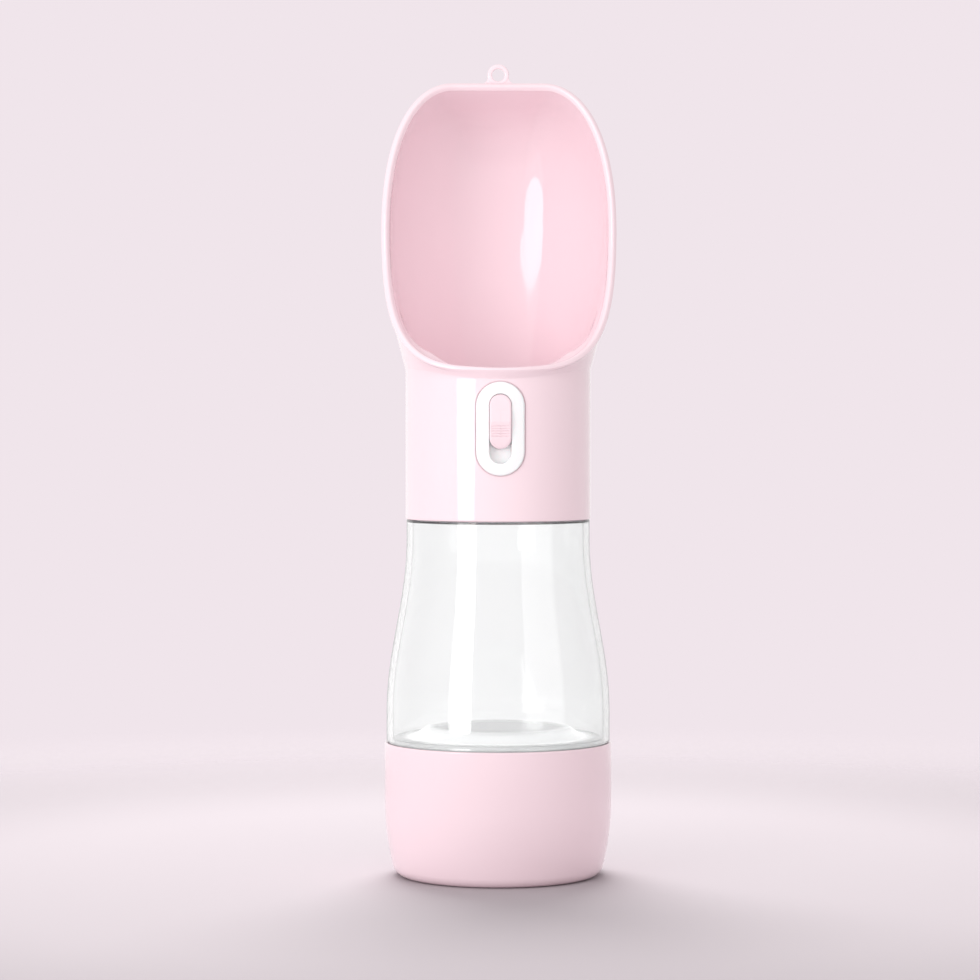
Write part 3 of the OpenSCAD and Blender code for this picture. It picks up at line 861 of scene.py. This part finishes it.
@dataclass
class Bottle:
    """The clear bottle: blown wall, welded base and the gasket on its neck."""

    foot_r: float = 35.4
    waist_r: float = 29.0
    wall: float = 1.9
    foot_z: float = 44.2
    waist_from: float = 52.0
    waist_to: float = 107.0
    shoulder_z: float = 113.0
    neck_r: float = 21.6
    neck_wall: float = 2.2
    neck_top: float = 122.5
    flange_z: float = 42.8
    collar_r: float = 32.1
    collar_foot: float = 34.5
    punt_foot_r: float = 27.2
    punt_top_r: float = 23.3
    punt_top: float = 47.4
    punt_wall: float = 1.6
    middle_r: float = 14.0
    gasket_r: Pair = (19.0, 22.5)
    gasket_h: float = 1.5

    def side(self, z: float) -> float:
        """Gives the wall's outer radius at height z."""
        share = min(1.0, max(0.0, (z - self.waist_from) / (self.waist_to - self.waist_from)))
        return self.waist_r + (self.foot_r - self.waist_r) * (1 + math.cos(math.pi * share)) / 2

    def wall_outline(self) -> list[Pair]:
        """Gives the section of the blown wall with its neck.

        Returns:
            Points as radius and height.
        """
        low, top, shoulder = self.flange_z, self.neck_top, self.shoulder_z
        lip = self.neck_r - self.neck_wall
        heights = [self.waist_from + k for k in range(int(self.waist_to - self.waist_from) + 1)]
        # The wall's foot hides the weld, so that no joint line shows.
        points = near(self.foot_r, low, (-0.2, 0.0), (-0.06, 0.06), (0.0, 0.2))
        points += [(self.foot_r, low + up) for up in (0.4, 1.0, 3.0, 6.0)]
        points += [(self.side(z), z) for z in heights]
        points += arc((self.waist_r - 0.2, shoulder - 0.2), 0.2, 0, 90, 5)
        points += near(self.neck_r, shoulder, (0.5, 0.0), (0.15, 0.15), (0.0, 0.5))
        points += [(self.neck_r, top - 0.4)]
        points += arc((self.neck_r - 0.4, top - 0.4), 0.4, 0, 90, 4)[1:]
        points += arc((lip + 0.4, top - 0.4), 0.4, 90, 180, 4)
        points += near(lip, shoulder, (0.0, -0.3), (0.15, -0.6), (0.5, -0.7))
        points += arc((self.waist_r - self.wall - 0.25, shoulder - 0.95), 0.25, 90, 0, 4)
        points += [(self.side(z) - self.wall, z) for z in reversed(heights[:-2])]
        points += [(self.foot_r - self.wall, low + up) for up in (6.0, 3.0, 1.0, 0.2)]
        return points + [(self.foot_r - self.wall + 0.2, low)]

    def base_outline(self) -> list[Pair]:
        """Gives the section of the base, from its raised middle round to below.

        Returns:
            Points as radius and height.
        """
        edge = self.foot_r - self.wall - 0.05
        under = self.punt_top - self.punt_wall
        points = [(self.middle_r, self.punt_top)]
        points += near(
            self.punt_top_r, self.punt_top, (-1.2, 0.0), (-0.5, -0.1), (0.0, -0.4), (0.5, -0.9))
        points += near(self.punt_foot_r, self.foot_z, (-0.3, 0.4), (0.1, 0.08), (0.6, 0.0))
        points += near(edge, self.foot_z, (-0.2, 0.0), (0.0, -0.2))
        points += near(edge, self.flange_z, (0.0, 0.2), (-0.2, 0.0))
        points += near(self.collar_r, self.flange_z, (0.3, 0.0), (0.0, -0.3))
        points += near(
            self.collar_r, self.collar_foot, (0.0, 0.7), (-0.6, 0.0), (-1.8, 0.0), (-2.0, 0.2))
        points += near(self.collar_r, self.flange_z, (-2.0, -0.3), (-2.3, 0.0))
        points += [(self.punt_foot_r - 1.0, self.flange_z), (self.punt_top_r - 1.0, under)]
        return points + [(self.middle_r, under)]

    def build(self) -> None:
        """Makes the wall, the base and the gasket."""
        thread = Thread(self.neck_r, self.shoulder_z + 1.0, self.neck_top - 1.0, 1.0)
        turn_piece(
            "bottle_wall", Finish.CLEAR_WALL, "bottle", "bottle_body",
            self.wall_outline(), thread)
        thread = Thread(self.collar_r, 35.2, 41.6, 0.85)
        turn_piece(
            "bottle_base_disc", Finish.CLEAR_BASE, "bottle", "bottle_base",
            self.base_outline(), thread, False)
        height = (self.neck_top, self.neck_top + self.gasket_h)
        section = boxed(self.gasket_r, height, (0.3, 0.3, 0.3, 0.3))
        turn_piece("neck_gasket_ring", Finish.SILICONE, "neck_ring", "neck_gasket", section)


# ---- head ----


def bezier(a: Vector, b: Vector, c: Vector, d: Vector, t: float) -> Vector:
    """Gives the point at t on a cubic curve through a and d."""
    s = 1 - t
    return a * s ** 3 + b * (3 * s * s * t) + c * (3 * s * t * t) + d * t ** 3


def ease(share: float) -> float:
    """Gives a smooth step from 0 to 1 while share goes from 0 to 1."""
    held = min(1.0, max(0.0, share))
    return held * held * (3 - 2 * held)


@dataclass
class Head:
    """The head moulding: a sleeve that opens upwards into the drinking scoop."""

    waist_r: float = 29.3
    sleeve_in_r: float = 27.5
    core_step: float = 0.6
    sleeve_bottom: float = 113.14
    plate_top: float = 126.2
    sleeve_top: float = 157.3
    floor_z: float = 158.6
    floor_under: float = 156.8
    half_w: float = 36.8
    lip_z: float = 159.9
    lip_out: float = 1.7
    lip_half: float = 10.0
    lip_rise: float = 0.2
    lip_pull: float = 21.0
    lip_pull_rise: float = 0.5
    lip_sweep: float = 19.0
    side_rise: float = 44.0
    side_y: float = -12.0
    side_pull_down: Spot = (0.0, -0.2, -32.0)
    side_pull_up: Spot = (0.0, 0.3, 30.0)
    scoop_top: float = 250.6
    top_flat: float = 14.0
    top_y: float = -4.0
    top_pull: Spot = (13.0, -1.5, 0.0)
    shares: Spot = (0.12, 0.50, 0.94)
    rim_w: float = 2.5
    rim_crown: float = 0.42
    lip_w: float = 1.3
    lip_share: float = 0.36
    crease_rise: float = 3.2
    crease_share: float = 0.42
    lean: float = 14.0
    steepness: float = 48.0
    lip_flare: float = 33.0
    back_flare: float = 5.3
    lip_pull_up: float = 0.55
    back_pull_up: float = 0.88
    rim_pull: float = 0.31
    floor_round: float = 5.0
    floor_share: float = 0.62
    window: Pair = (12.7, 26.7)
    window_y: Pair = (-34.0, -21.3)
    outlet_y: float = 15.0
    bed: Pair = (15.7, 29.7)
    bed_r: float = 28.95
    half_n: int = 110
    finish: Finish = Finish.PINK_ABS

    def lip_point(self, x: float) -> Vector:
        """Gives a point on the lip's outer edge, which rises a little to the sides.

        Args:
            x: Distance from the middle of the lip.

        Returns:
            The point.
        """
        r = self.waist_r + self.lip_out
        rise = self.lip_rise * (x / self.lip_half) ** 2
        return Vector((x, -math.sqrt(r ** 2 - x ** 2), self.lip_z + rise))

    def rim_outer(self, u: float) -> Vector:
        """Gives a point on the rim's outer edge.

        Args:
            u: Share of the way from the lip (0) to the top (1).

        Returns:
            The point.
        """
        a, b, c = self.shares
        side = Vector((self.half_w, self.side_y, self.lip_z + self.side_rise))
        top = Vector((self.top_flat, self.top_y, self.scoop_top))
        if u <= a:
            return self.lip_point(self.lip_half * u / a)
        if u <= b:
            end = self.lip_point(self.lip_half)
            back = self.lip_pull * math.tan(math.radians(self.lip_sweep))
            return bezier(
                end, end + Vector((self.lip_pull, back, self.lip_pull_rise)),
                side + Vector(self.side_pull_down), side, (u - a) / (b - a))
        if u <= c:
            return bezier(
                side, side + Vector(self.side_pull_up), top + Vector(self.top_pull), top,
                (u - b) / (c - b))
        return Vector((self.top_flat * (1 - (u - c) / (1 - c)), self.top_y, self.scoop_top))

    def wall_dir(self, u: float) -> Vector:
        """Gives the direction in which the wall leaves the rim at u."""
        a = math.radians(
            self.lean + self.steepness * ((1 + math.cos(math.pi * u)) / 2) ** 4)
        return Vector((0, math.cos(a), -math.sin(a)))

    def rise_dir(self, u: float) -> Vector:
        """Gives the direction in which the wall leaves the sleeve at u."""
        a = math.radians(
            self.back_flare
            + (self.lip_flare - self.back_flare) * ((1 + math.cos(math.pi * u)) / 2) ** 1.5)
        return self.sleeve_point(u, math.sin(a), math.cos(a))

    def rim_across(self, u: float) -> Vector:
        """Gives the direction from the rim's outer to its inner edge.

        Args:
            u: Share of the way from the lip to the top.

        Returns:
            The direction, of length one.
        """
        step = 0.004
        if u <= 0:
            along = Vector((1, 0, 0))
        elif u >= 1:
            along = Vector((-1, 0, 0))
        else:
            along = self.rim_outer(min(1, u + step)) - self.rim_outer(u - step)
        return along.cross(self.wall_dir(u)).normalized()

    def rim_width(self, u: float) -> float:
        """Gives the rim's width at u, least at the lip."""
        return self.lip_w + (self.rim_w - self.lip_w) * ease(u / self.lip_share)

    def rim_inner(self, u: float) -> Vector:
        """Gives the rim's inner edge at u."""
        return self.rim_outer(u) + self.rim_across(u) * self.rim_width(u)

    def rim_crest(self, u: float, part: float) -> Vector:
        """Gives a point over the rounded rim.

        Args:
            u: Share of the way from the lip to the top.
            part: Share of the way across the rim.

        Returns:
            The point.
        """
        flat = self.rim_outer(u).lerp(self.rim_inner(u), part)
        crown = math.sin(math.pi * part) * self.rim_width(u) * self.rim_crown
        return flat - self.wall_dir(u) * crown

    def sleeve_point(self, u: float, r: float, z: float) -> Vector:
        """Gives the sleeve's point for u at radius r and height z."""
        return Vector((r * math.sin(math.pi * u), -r * math.cos(math.pi * u), z))

    def wall_point(self, u: float, foot: Vector, edge: Vector, t: float) -> Vector:
        """Gives a point on a wall that rises from the sleeve to the rim.

        Args:
            u: Share of the way from the lip to the top.
            foot: Where the wall leaves the sleeve.
            edge: Where it meets the rim.
            t: Share of the way up the wall.

        Returns:
            The point.
        """
        reach = (edge - foot).length
        rise = self.lip_pull_up + (self.back_pull_up - self.lip_pull_up) * (
            (1 - math.cos(math.pi * u)) / 2) ** 3
        return bezier(
            foot, foot + self.rise_dir(u) * (reach * rise),
            edge + self.wall_dir(u) * (reach * self.rim_pull), edge, t)

    def outer_wall(self, u: float, t: float) -> Vector:
        """Gives a point on the outside of the scoop."""
        foot_z = self.sleeve_top + self.crease_rise * ease(u / self.crease_share)
        return self.wall_point(
            u, self.sleeve_point(u, self.waist_r, foot_z), self.rim_outer(u), t)

    def fillet_r(self, u: float) -> float:
        """Gives the radius where the wall meets the scoop's floor."""
        return min(self.floor_round, self.floor_share * (self.rim_inner(u).z - self.floor_z))

    def inner_wall(self, u: float, t: float) -> Vector:
        """Gives a point on the inside of the scoop."""
        foot = self.sleeve_point(
            u, self.sleeve_in_r - self.core_step, self.floor_z + self.fillet_r(u))
        return self.wall_point(u, foot, self.rim_inner(u), t)

    def floor_fillet(self, u: float, angle: float) -> Vector:
        """Gives a point on the round between wall and floor."""
        r = self.fillet_r(u)
        return self.sleeve_point(
            u, self.sleeve_in_r - self.core_step - r * (1 - math.sin(angle)),
            self.floor_z + r * (1 - math.cos(angle)))

    def ring_of(self, rule: Callable[..., Vector], *at: float) -> Ring:
        """Makes a closed ring from a rule for one half and its mirror image.

        Args:
            rule: Gives the point of one half for a share of the way round.
            *at: What else the rule is given.

        Returns:
            The ring.
        """
        half = [rule(k / self.half_n, *at) for k in range(self.half_n + 1)]
        other = [Vector((-p.x, p.y, p.z)) for p in half[-2:0:-1]]
        return half + other

    def shell_rings(self) -> list[Ring]:
        """Gives the rings from under the floor, round the sleeve and over the rim.

        Returns:
            The rings.
        """
        inner_r = self.sleeve_in_r - self.core_step
        low = self.sleeve_bottom
        sleeve = [(inner_r, self.floor_under), (inner_r, self.plate_top)]
        sleeve += [(self.sleeve_in_r, self.plate_top)]
        sleeve += near(self.sleeve_in_r, low, (0.0, 0.2), (0.2, 0.0))
        sleeve += near(self.waist_r, low, (-0.35, 0.0), (-0.1, 0.1))
        sleeve += [(self.waist_r, low + up) for up in (0.35, 0.6, 1.0)]
        sleeve += [(self.waist_r, z) for z in (120, 128, 136, 144, 152, 156.6, 157.1)]
        rings = [self.ring_of(self.sleeve_point, r, z) for r, z in sleeve]
        rings += [
            self.ring_of(self.outer_wall, t)
            for t in [0.0, 0.004, 0.012] + [k / 40 for k in range(1, 41)]]
        rings += [self.ring_of(self.rim_crest, k / 8) for k in range(1, 8)]
        rings += [self.ring_of(self.inner_wall, 1 - k / 40) for k in range(41)]
        rings += [
            self.ring_of(self.floor_fillet, (1 - k / 8) * math.pi / 2) for k in range(1, 9)]
        return rings

    def build(self) -> None:
        """Makes the head moulding with its lanyard loop."""
        shell = Solid().add_rings(self.shell_rings()).to_object("head_moulding", self.finish)
        window = Solid().add_prism(stadium(*self.window, BEZEL_Z), *self.window_y)
        bore = soften([(3.4, 150.0, 0), (3.4, 158.0, 0.5), (4.4, 158.61, 0), (4.4, 164.0, 0)])
        drill = Solid().add_rings(turned(bore, turns=72, centre=(0.0, self.outlet_y)))
        knives = {"window_knife": window, "outlet_knife": drill, "bed_knife": self.bezel_bed()}
        cut(shell, [knife.to_object(name, self.finish) for name, knife in knives.items()])
        place(shell, self.finish, "head", "head_shell")
        self.build_loop()

    def bezel_bed(self) -> Solid:
        """Makes the knife for the shallow bed that the bezel lies in, a groove wider.

        Returns:
            The knife.
        """
        width, length = self.bed
        rings = [flat_ring(stadium(width, length, BEZEL_Z, 32), self.window_y[0])]
        for inset in (0.0, 1.0, 2.5, 4.0, 5.5, 7.0, 7.8):
            outline = stadium(width - 2 * inset, length - 2 * inset, BEZEL_Z, 32)
            rings.append(bent_ring(outline, self.bed_r))
        return Solid().add_rings(rings)

    def build_loop(self) -> None:
        """Makes the ring for a wrist cord, with the foot that blends into the rim."""
        low, high, z = -3.6, -0.8, self.scoop_top + 2.6
        section = boxed((2.0, 3.4), (low, high), (0.45, 0.6, 0.6, 0.45), 6)
        rings = []
        for k in range(72):
            a = 2 * math.pi * k / 72
            across, up = math.cos(a), math.sin(a)
            rings.append([Vector((r * across, y, z + r * up)) for r, y in section])
        Solid().add_rings(rings, looped=True).to_piece(
            "lanyard_ring", self.finish, "head", "lanyard_loop")
        flare, half = 2.0, 5.2
        right = [(half, self.scoop_top - 1.2)]
        right += arc((half, self.scoop_top + flare), flare, -90, -171, 9)
        hollow = arc((0.0, z), 2.7, -35, -145, 12)
        left = [(-x, h) for x, h in reversed(right)]
        foot = Solid().add_prism(right + hollow + left, low + 0.15, high - 0.15)
        obj = foot.to_object("lanyard_foot", self.finish)
        ease_edges(obj, 0.3)
        place(obj, self.finish, "head", "lanyard_loop")


# ---- button ----


@dataclass
class ButtonSet:
    """The white bezel, the pink thumb button and the spring behind it."""

    bezel_w: float = 15.0
    bezel_l: float = 29.0
    bezel_r: float = 30.2
    bezel_round: float = 0.55
    sleeve_r: float = 29.3
    slot_w: float = 6.9
    slot_l: float = 21.6
    slot_round: float = 0.3
    collar_w: float = 12.5
    collar_back: float = -25.5
    rails: tuple[Pair, ...] = ((5.2, -25.6), (4.45, -25.0))
    rail_out: float = 6.2
    rail_back: float = -23.9
    rail_half: float = 7.8
    button_w: float = 6.72
    button_l: float = 17.0
    button_z: float = 144.1
    button_front: float = -30.0
    button_back: float = -26.1
    button_round: float = 0.6
    button_insets: tuple[float, ...] = (
        0.0, 0.04, 0.12, 0.22, 0.34, 0.48, 0.64, 0.9, 1.3, 1.8, 2.4, 3.0, 3.25, 3.35)
    crown: float = 1.7
    ridge_share: float = 0.28
    grooves: int = 5
    groove_from: float = 1.5
    groove_pitch: float = 0.78
    groove_half: float = 0.27
    groove_depth: float = 0.24
    spring_front: float = 26.05
    spring_length: float = 6.3
    spring_z: float = 147.6
    spring_r: float = 2.25
    travel: float = 2.5

    def bezel_outline(self, inset: float) -> list[Pair]:
        """Gives an outline between the outer edge and the slot.

        Args:
            inset: Share of the way from the outer edge to the slot.

        Returns:
            Points as x and z.
        """
        width = self.bezel_w + (self.slot_w - self.bezel_w) * inset
        length = self.bezel_l + (self.slot_l - self.bezel_l) * inset
        return stadium(width, length, BEZEL_Z, 32)

    def bezel_ring(self, inset: float, depth: float) -> Ring:
        """Gives the ring at an inset that lies some depth below the bezel's face."""
        return bent_ring(self.bezel_outline(inset), self.bezel_r - depth)

    def build_bezel(self) -> None:
        """Makes the bezel, with its collar and the rails behind it."""
        face = self.bezel_r - self.sleeve_r
        reach = (self.bezel_w - self.slot_w) / 2
        side = (self.bezel_w - self.collar_w) / 2 / reach
        rounds = [math.radians(15 * k) for k in range(7)]
        rings = [self.bezel_ring(0.0, face)]
        for a in rounds:
            rings.append(self.bezel_ring(
                self.bezel_round * (1 - math.cos(a)) / reach,
                self.bezel_round * (1 - math.sin(a))))
        for a in rounds:
            rings.append(self.bezel_ring(
                1 - self.slot_round * (1 - math.sin(a)) / reach,
                self.slot_round * (1 - math.cos(a))))
        rings += [flat_ring(self.bezel_outline(k), self.collar_back) for k in (1.0, side)]
        rings.append(self.bezel_ring(side, face + 0.02))
        bezel = Solid().add_rings(rings, looped=True)
        low, high = BEZEL_Z - self.rail_half, BEZEL_Z + self.rail_half
        for sign in (-1, 1):
            for rail_in, rail_front in self.rails:
                left, right = sorted((sign * rail_in, sign * self.rail_out))
                bezel.add_block((left, rail_front, low), (right, self.rail_back, high))
        bezel.to_piece("bezel_frame", Finish.WHITE_ABS, "head", "button_bezel")

    def face_y(self, z: float, inset: float) -> float:
        """Gives the y of the button's face.

        Args:
            z: Height of the point.
            inset: Distance from the button's outline.

        Returns:
            The y coordinate.
        """
        s = (z - self.button_z) / (self.button_l / 2)
        # A low dome that comes to a soft ridge across its middle.
        ridge = self.ridge_share * max(0.0, 1 - abs(s) * 2.4) ** 1.3
        dome = self.crown * ((1 - self.ridge_share) * (1 - s * s) + ridge)
        under = max(0.0, self.button_round - inset)
        drop = self.button_round - math.sqrt(self.button_round ** 2 - under ** 2)
        groove = 0.0
        for k in range(self.grooves):
            middle = self.button_z - self.groove_from - self.groove_pitch * k
            off = abs(z - middle) / self.groove_half
            if off < 1:
                fade = min(1.0, max(0.0, (inset - 0.5) / 0.3))
                groove = self.groove_depth * (1 - off * off) * fade
        return self.button_front - dome + drop + groove

    def build_button(self) -> None:
        """Makes the thumb button with its ridge and grip lines."""
        rings = []
        for inset in self.button_insets:
            outline = stadium(
                self.button_w - 2 * inset, self.button_l - 2 * inset, self.button_z, rungs=103)
            if not rings:
                back = self.button_back
                rings = [flat_ring(outline, back), flat_ring(outline, back - 0.01)]
            rings.append([Vector((x, self.face_y(z, inset), z)) for x, z in outline])
        button = Solid().add_rings(rings).to_object("thumb_button", Finish.PINK_ABS, 50.0)
        place(button, Finish.PINK_ABS, "button", "release_button")

    def build_spring(self) -> None:
        """Makes the spring between the button and the carrier's bridge."""
        rings = [
            [Vector((p.x, p.z - self.spring_front, self.spring_z - p.y)) for p in ring]
            for ring in coil(self.spring_length, self.spring_r)]
        spring = Solid().add_rings(rings).to_piece(
            "button_return_spring", Finish.STEEL, "carrier", "button_spring")
        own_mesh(spring)

    def build(self) -> None:
        """Makes all three."""
        self.build_bezel()
        self.build_button()
        self.build_spring()


# ---- valve ----


@dataclass
class Valve:
    """The valve in the head: the core's thread, the spring and the carried nodes."""

    spring_low: float = 114.7
    spring_high: float = 120.2
    spring_r: float = 3.2
    travel: float = 2.7
    thread_z: float = 116.0
    thread_pitch: float = 4.0
    thread_turns: float = 1.6
    thread_start: float = -0.2
    thread_run_out: float = 0.08
    root_r: float = 23.36
    crest_r: float = 22.35
    root_half: float = 0.85
    crest_half: float = 0.4

    def build_spring(self) -> None:
        """Makes the spring under the valve's plug."""
        height = self.spring_high - self.spring_low
        rings = [
            [p + Vector((0, 0, self.spring_low)) for p in ring]
            for ring in coil(height, self.spring_r)]
        spring = Solid().add_rings(rings).to_piece(
            "valve_return_spring", Finish.STEEL, "head", "valve_spring")
        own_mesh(spring)

    def build_thread(self) -> None:
        """Makes the thread inside the core's skirt, which grips the bottle's neck."""
        steps = 220
        rings = []
        for k in range(steps + 1):
            t = k / steps
            turn = self.thread_turns * t + self.thread_start
            z = self.thread_z + self.thread_pitch * turn
            # The ends of the thread run out into the skirt.
            grow = max(0.02, min(1.0, t / self.thread_run_out, (1 - t) / self.thread_run_out))
            crest = self.root_r - (self.root_r - self.crest_r) * grow
            section = [
                (self.root_r, -self.root_half), (crest, -self.crest_half),
                (crest, self.crest_half), (self.root_r, self.root_half)]
            rings.append([around(r, 2 * math.pi * turn, z + h) for r, h in section])
        Solid().add_rings(rings).to_piece("core_thread", Finish.WHITE_ABS, "head")

    def dress_nodes(self) -> None:
        """Gives the carried-over nodes their finishes."""
        finishes = {
            Finish.WHITE_ABS: ("valve_core", "valve_cage", "slide_carrier"),
            Finish.ACETAL: ("button_pusher", "valve_lever", "valve_stem"),
            Finish.SILICONE: ("outlet_grommet", "stem_oring", "valve_plug"),
            Finish.STEEL: ("plug_washer", "lever_pin"),
        }
        for name, finish in ((n, f) for f, names in finishes.items() for n in names):
            node = frame["nodes"][name]
            material = finish.value.material()
            if not node.material_slots:
                node.data.materials.append(material)
            for slot in node.material_slots:
                slot.material = material
            log.info("%s is finished in %s", name, material.name)

    def build(self) -> None:
        """Makes the springs and the thread, and dresses the nodes."""
        self.build_spring()
        self.build_thread()
        self.dress_nodes()


# ---- studio ----


def before(azimuth: float, distance: float, height: float) -> Spot:
    """Gives the place in front of the bottle, azimuth degrees to the left."""
    a = math.radians(azimuth)
    return -distance * math.sin(a), -distance * math.cos(a), height


def stand(name: str, data: bpy.types.ID, at: Spot, facing: Euler) -> Object:
    """Stands a light or a camera in the scene.

    Args:
        name: Its name.
        data: The light or the camera.
        at: Where it stands.
        facing: How it is turned.

    Returns:
        The object.
    """
    obj = bpy.data.objects.new(name, data)
    obj.location = at
    obj.rotation_euler = facing
    bpy.context.scene.collection.objects.link(obj)
    return obj


@dataclass(frozen=True)
class Softbox:
    """An upright softbox.

    Attributes:
        name: Its name.
        azimuth: Degrees to the left of the front.
        distance: Metres from the bottle's axis.
        size: Width and height in metres.
        middle: Height of its middle in metres.
        power: Power in watts.
        shape: Blender's name for the shape of its screen.
        clear_only: Lights the clear pieces alone, or else all the others.
    """

    name: str
    azimuth: float
    distance: float
    size: Pair
    middle: float
    power: float
    shape: str = "RECTANGLE"
    clear_only: bool = False


@dataclass
class Studio:
    """The pale floor, the soft lights and the camera."""

    backdrop: str = "#f0e5eb"
    distance: float = 1.03
    camera_height: float = 0.148
    azimuth: float = 1.4
    heading: float = -1.257
    tilt: float = 1.43
    lens: float = 119.3
    floor_light_at: Spot = (-0.05, 0.50, 0.87)
    floor_light_size: float = 0.6
    floor_light_power: float = 11.0
    # The left one gives the lens in the scoop and the strip on the sleeve, and the
    # flat one over it makes the lens fuller towards its lower end. The clear wall
    # has its own, taller one, and a broad dim one on the right.
    softboxes: tuple[Softbox, ...] = (
        Softbox("softbox left", 41.0, 1.1, (0.47, 0.38), 0.172, 1.65, "ELLIPSE"),
        Softbox("softbox left, upper", 41.0, 1.1, (0.60, 0.13), 0.302, 0.65, "ELLIPSE"),
        Softbox("softbox left, clear", 41.0, 1.1, (0.46, 0.52), 0.20, 3.2, clear_only=True),
        Softbox("softbox right, clear", -49.0, 1.1, (0.85, 0.50), 0.19, 1.2, clear_only=True),
    )

    def build_floor(self) -> Object:
        """Makes a round floor that fades into the backdrop.

        Returns:
            The floor.
        """
        outline = [(1400.0, -0.6), (1400.0, 0.0), (700.0, 0.0), (120.0, 0.0)]
        floor = Solid().add_rings(turned(outline, turns=96))
        obj = floor.to_object("studio_floor", Finish.PAPER)
        return obj

    def build_world(self) -> None:
        """Makes the soft surrounding light and the plain backdrop."""
        world = bpy.data.worlds.new("studio")
        bpy.context.scene.world = world
        world.use_nodes = True
        tree = world.node_tree
        tree.nodes.clear()
        direction = add_node(tree, "TexCoord").outputs["Generated"]
        parts = add_node(tree, "SeparateXYZ", {0: direction})
        # The room is a little darker to the right.
        side = add_node(tree, "MapRange", {
            "Value": parts.outputs["X"], "From Min": -1.0, "From Max": 1.0,
            "To Min": 0.89, "To Max": 0.66})
        # The wall behind the bottle is lit, which makes the clear plastic shine.
        behind = add_node(tree, "MapRange", {
            "Value": parts.outputs["Y"], "From Min": 0.3, "From Max": 0.9,
            "To Min": 1.0, "To Max": 1.33})
        room = add_node(tree, "Math", {"operation": "MULTIPLY", 0: side, 1: behind})
        # A broad bounce from the front left lights the inside of the scoop.
        facing = add_node(tree, "VectorMath", {
            "operation": "DOT_PRODUCT", 0: direction, 1: (-0.30, -0.95, 0.04)})
        bounce = add_node(tree, "MapRange", {
            "interpolation_type": "SMOOTHSTEP", "Value": facing.outputs["Value"],
            "From Min": 0.1, "From Max": 0.95, "To Min": 0.0, "To Max": 0.45})
        strength = add_node(tree, "Math", {"operation": "ADD", 0: room, 1: bounce})
        glow = add_node(
            tree, "Background", {"Color": (1.0, 0.985, 0.99, 1.0), "Strength": strength})
        plain = add_node(
            tree, "Background", {"Color": linear(self.backdrop), "Strength": 1.0})
        seen = add_node(tree, "LightPath").outputs["Is Camera Ray"]
        both = add_node(tree, "MixShader", {0: seen, 1: glow, 2: plain})
        add_node(tree, "OutputWorld", {"Surface": both})

    def add_light(
        self, name: str, shape: str, size: Pair, power: float, at: Spot, facing: Euler,
        lit: Sequence[Object],
    ) -> None:
        """Adds a soft light that the camera doesn't see.

        Args:
            name: Its name.
            shape: Blender's name for the shape of its screen.
            size: Width and height in metres.
            power: Power in watts.
            at: Where it stands.
            facing: How it is turned.
            lit: The objects that it lights, and no others.
        """
        data = bpy.data.lights.new(name, "AREA")
        data.shape = shape
        data.size, data.size_y = size
        data.energy = power
        light = stand(name, data, at, facing)
        light.visible_camera = False
        receivers = bpy.data.collections.new("lit by the " + name)
        for obj in lit:
            receivers.objects.link(obj)
        light.light_linking.receiver_collection = receivers

    def add_softbox(self, box: Softbox) -> None:
        """Adds an upright softbox that faces the bottle.

        Args:
            box: What it is like and which pieces it lights.
        """
        at = before(box.azimuth, box.distance, box.middle)
        lit = [
            piece for piece in bpy.context.scene.objects if piece.type == "MESH"
            and piece.name.startswith(CLEAR_PIECES) == box.clear_only]
        self.add_light(
            box.name, box.shape, box.size, box.power, at,
            Euler((math.pi / 2, 0.0, -math.radians(box.azimuth))), lit)

    def add_floor_light(self, floor: Object) -> None:
        """Adds the soft light that draws the bottle's shadow on the floor alone."""
        facing = Vector(self.floor_light_at).to_track_quat("Z", "Y").to_euler()
        self.add_light(
            "floor light", "DISK", (self.floor_light_size,) * 2, self.floor_light_power,
            self.floor_light_at, facing, [floor])

    def build_camera(self) -> None:
        """Makes the camera at the photograph's angle."""
        data = bpy.data.cameras.new("camera")
        data.lens = self.lens
        data.sensor_width = 36.0
        data.clip_start = 0.01
        facing = Euler((math.radians(90 - self.tilt), 0.0, math.radians(self.heading)))
        bpy.context.scene.camera = stand(
            "camera", data, before(self.azimuth, self.distance, self.camera_height), facing)

    def build(self) -> None:
        """Makes everything in the studio."""
        floor = self.build_floor()
        self.build_world()
        for box in self.softboxes:
            self.add_softbox(box)
        self.add_floor_light(floor)
        self.build_camera()
        scene = bpy.context.scene
        scene.view_settings.view_transform = "Standard"
        scene.view_settings.look = "None"
        scene.view_settings.exposure = 0.0
        scene.view_settings.gamma = 1.0


# ---- whole object ----


def main() -> None:
    """Builds the bottle's parts in order, then the studio, whose lights pick the pieces."""
    logging.basicConfig(level=logging.INFO, format="%(name)s: %(message)s")
    for part in (FoodCup(), Bottle(), Head(), ButtonSet(), Valve(), Studio()):
        part.build()
        log.info("%s is ready", type(part).__name__)


if __name__ == "__main__":
    main()
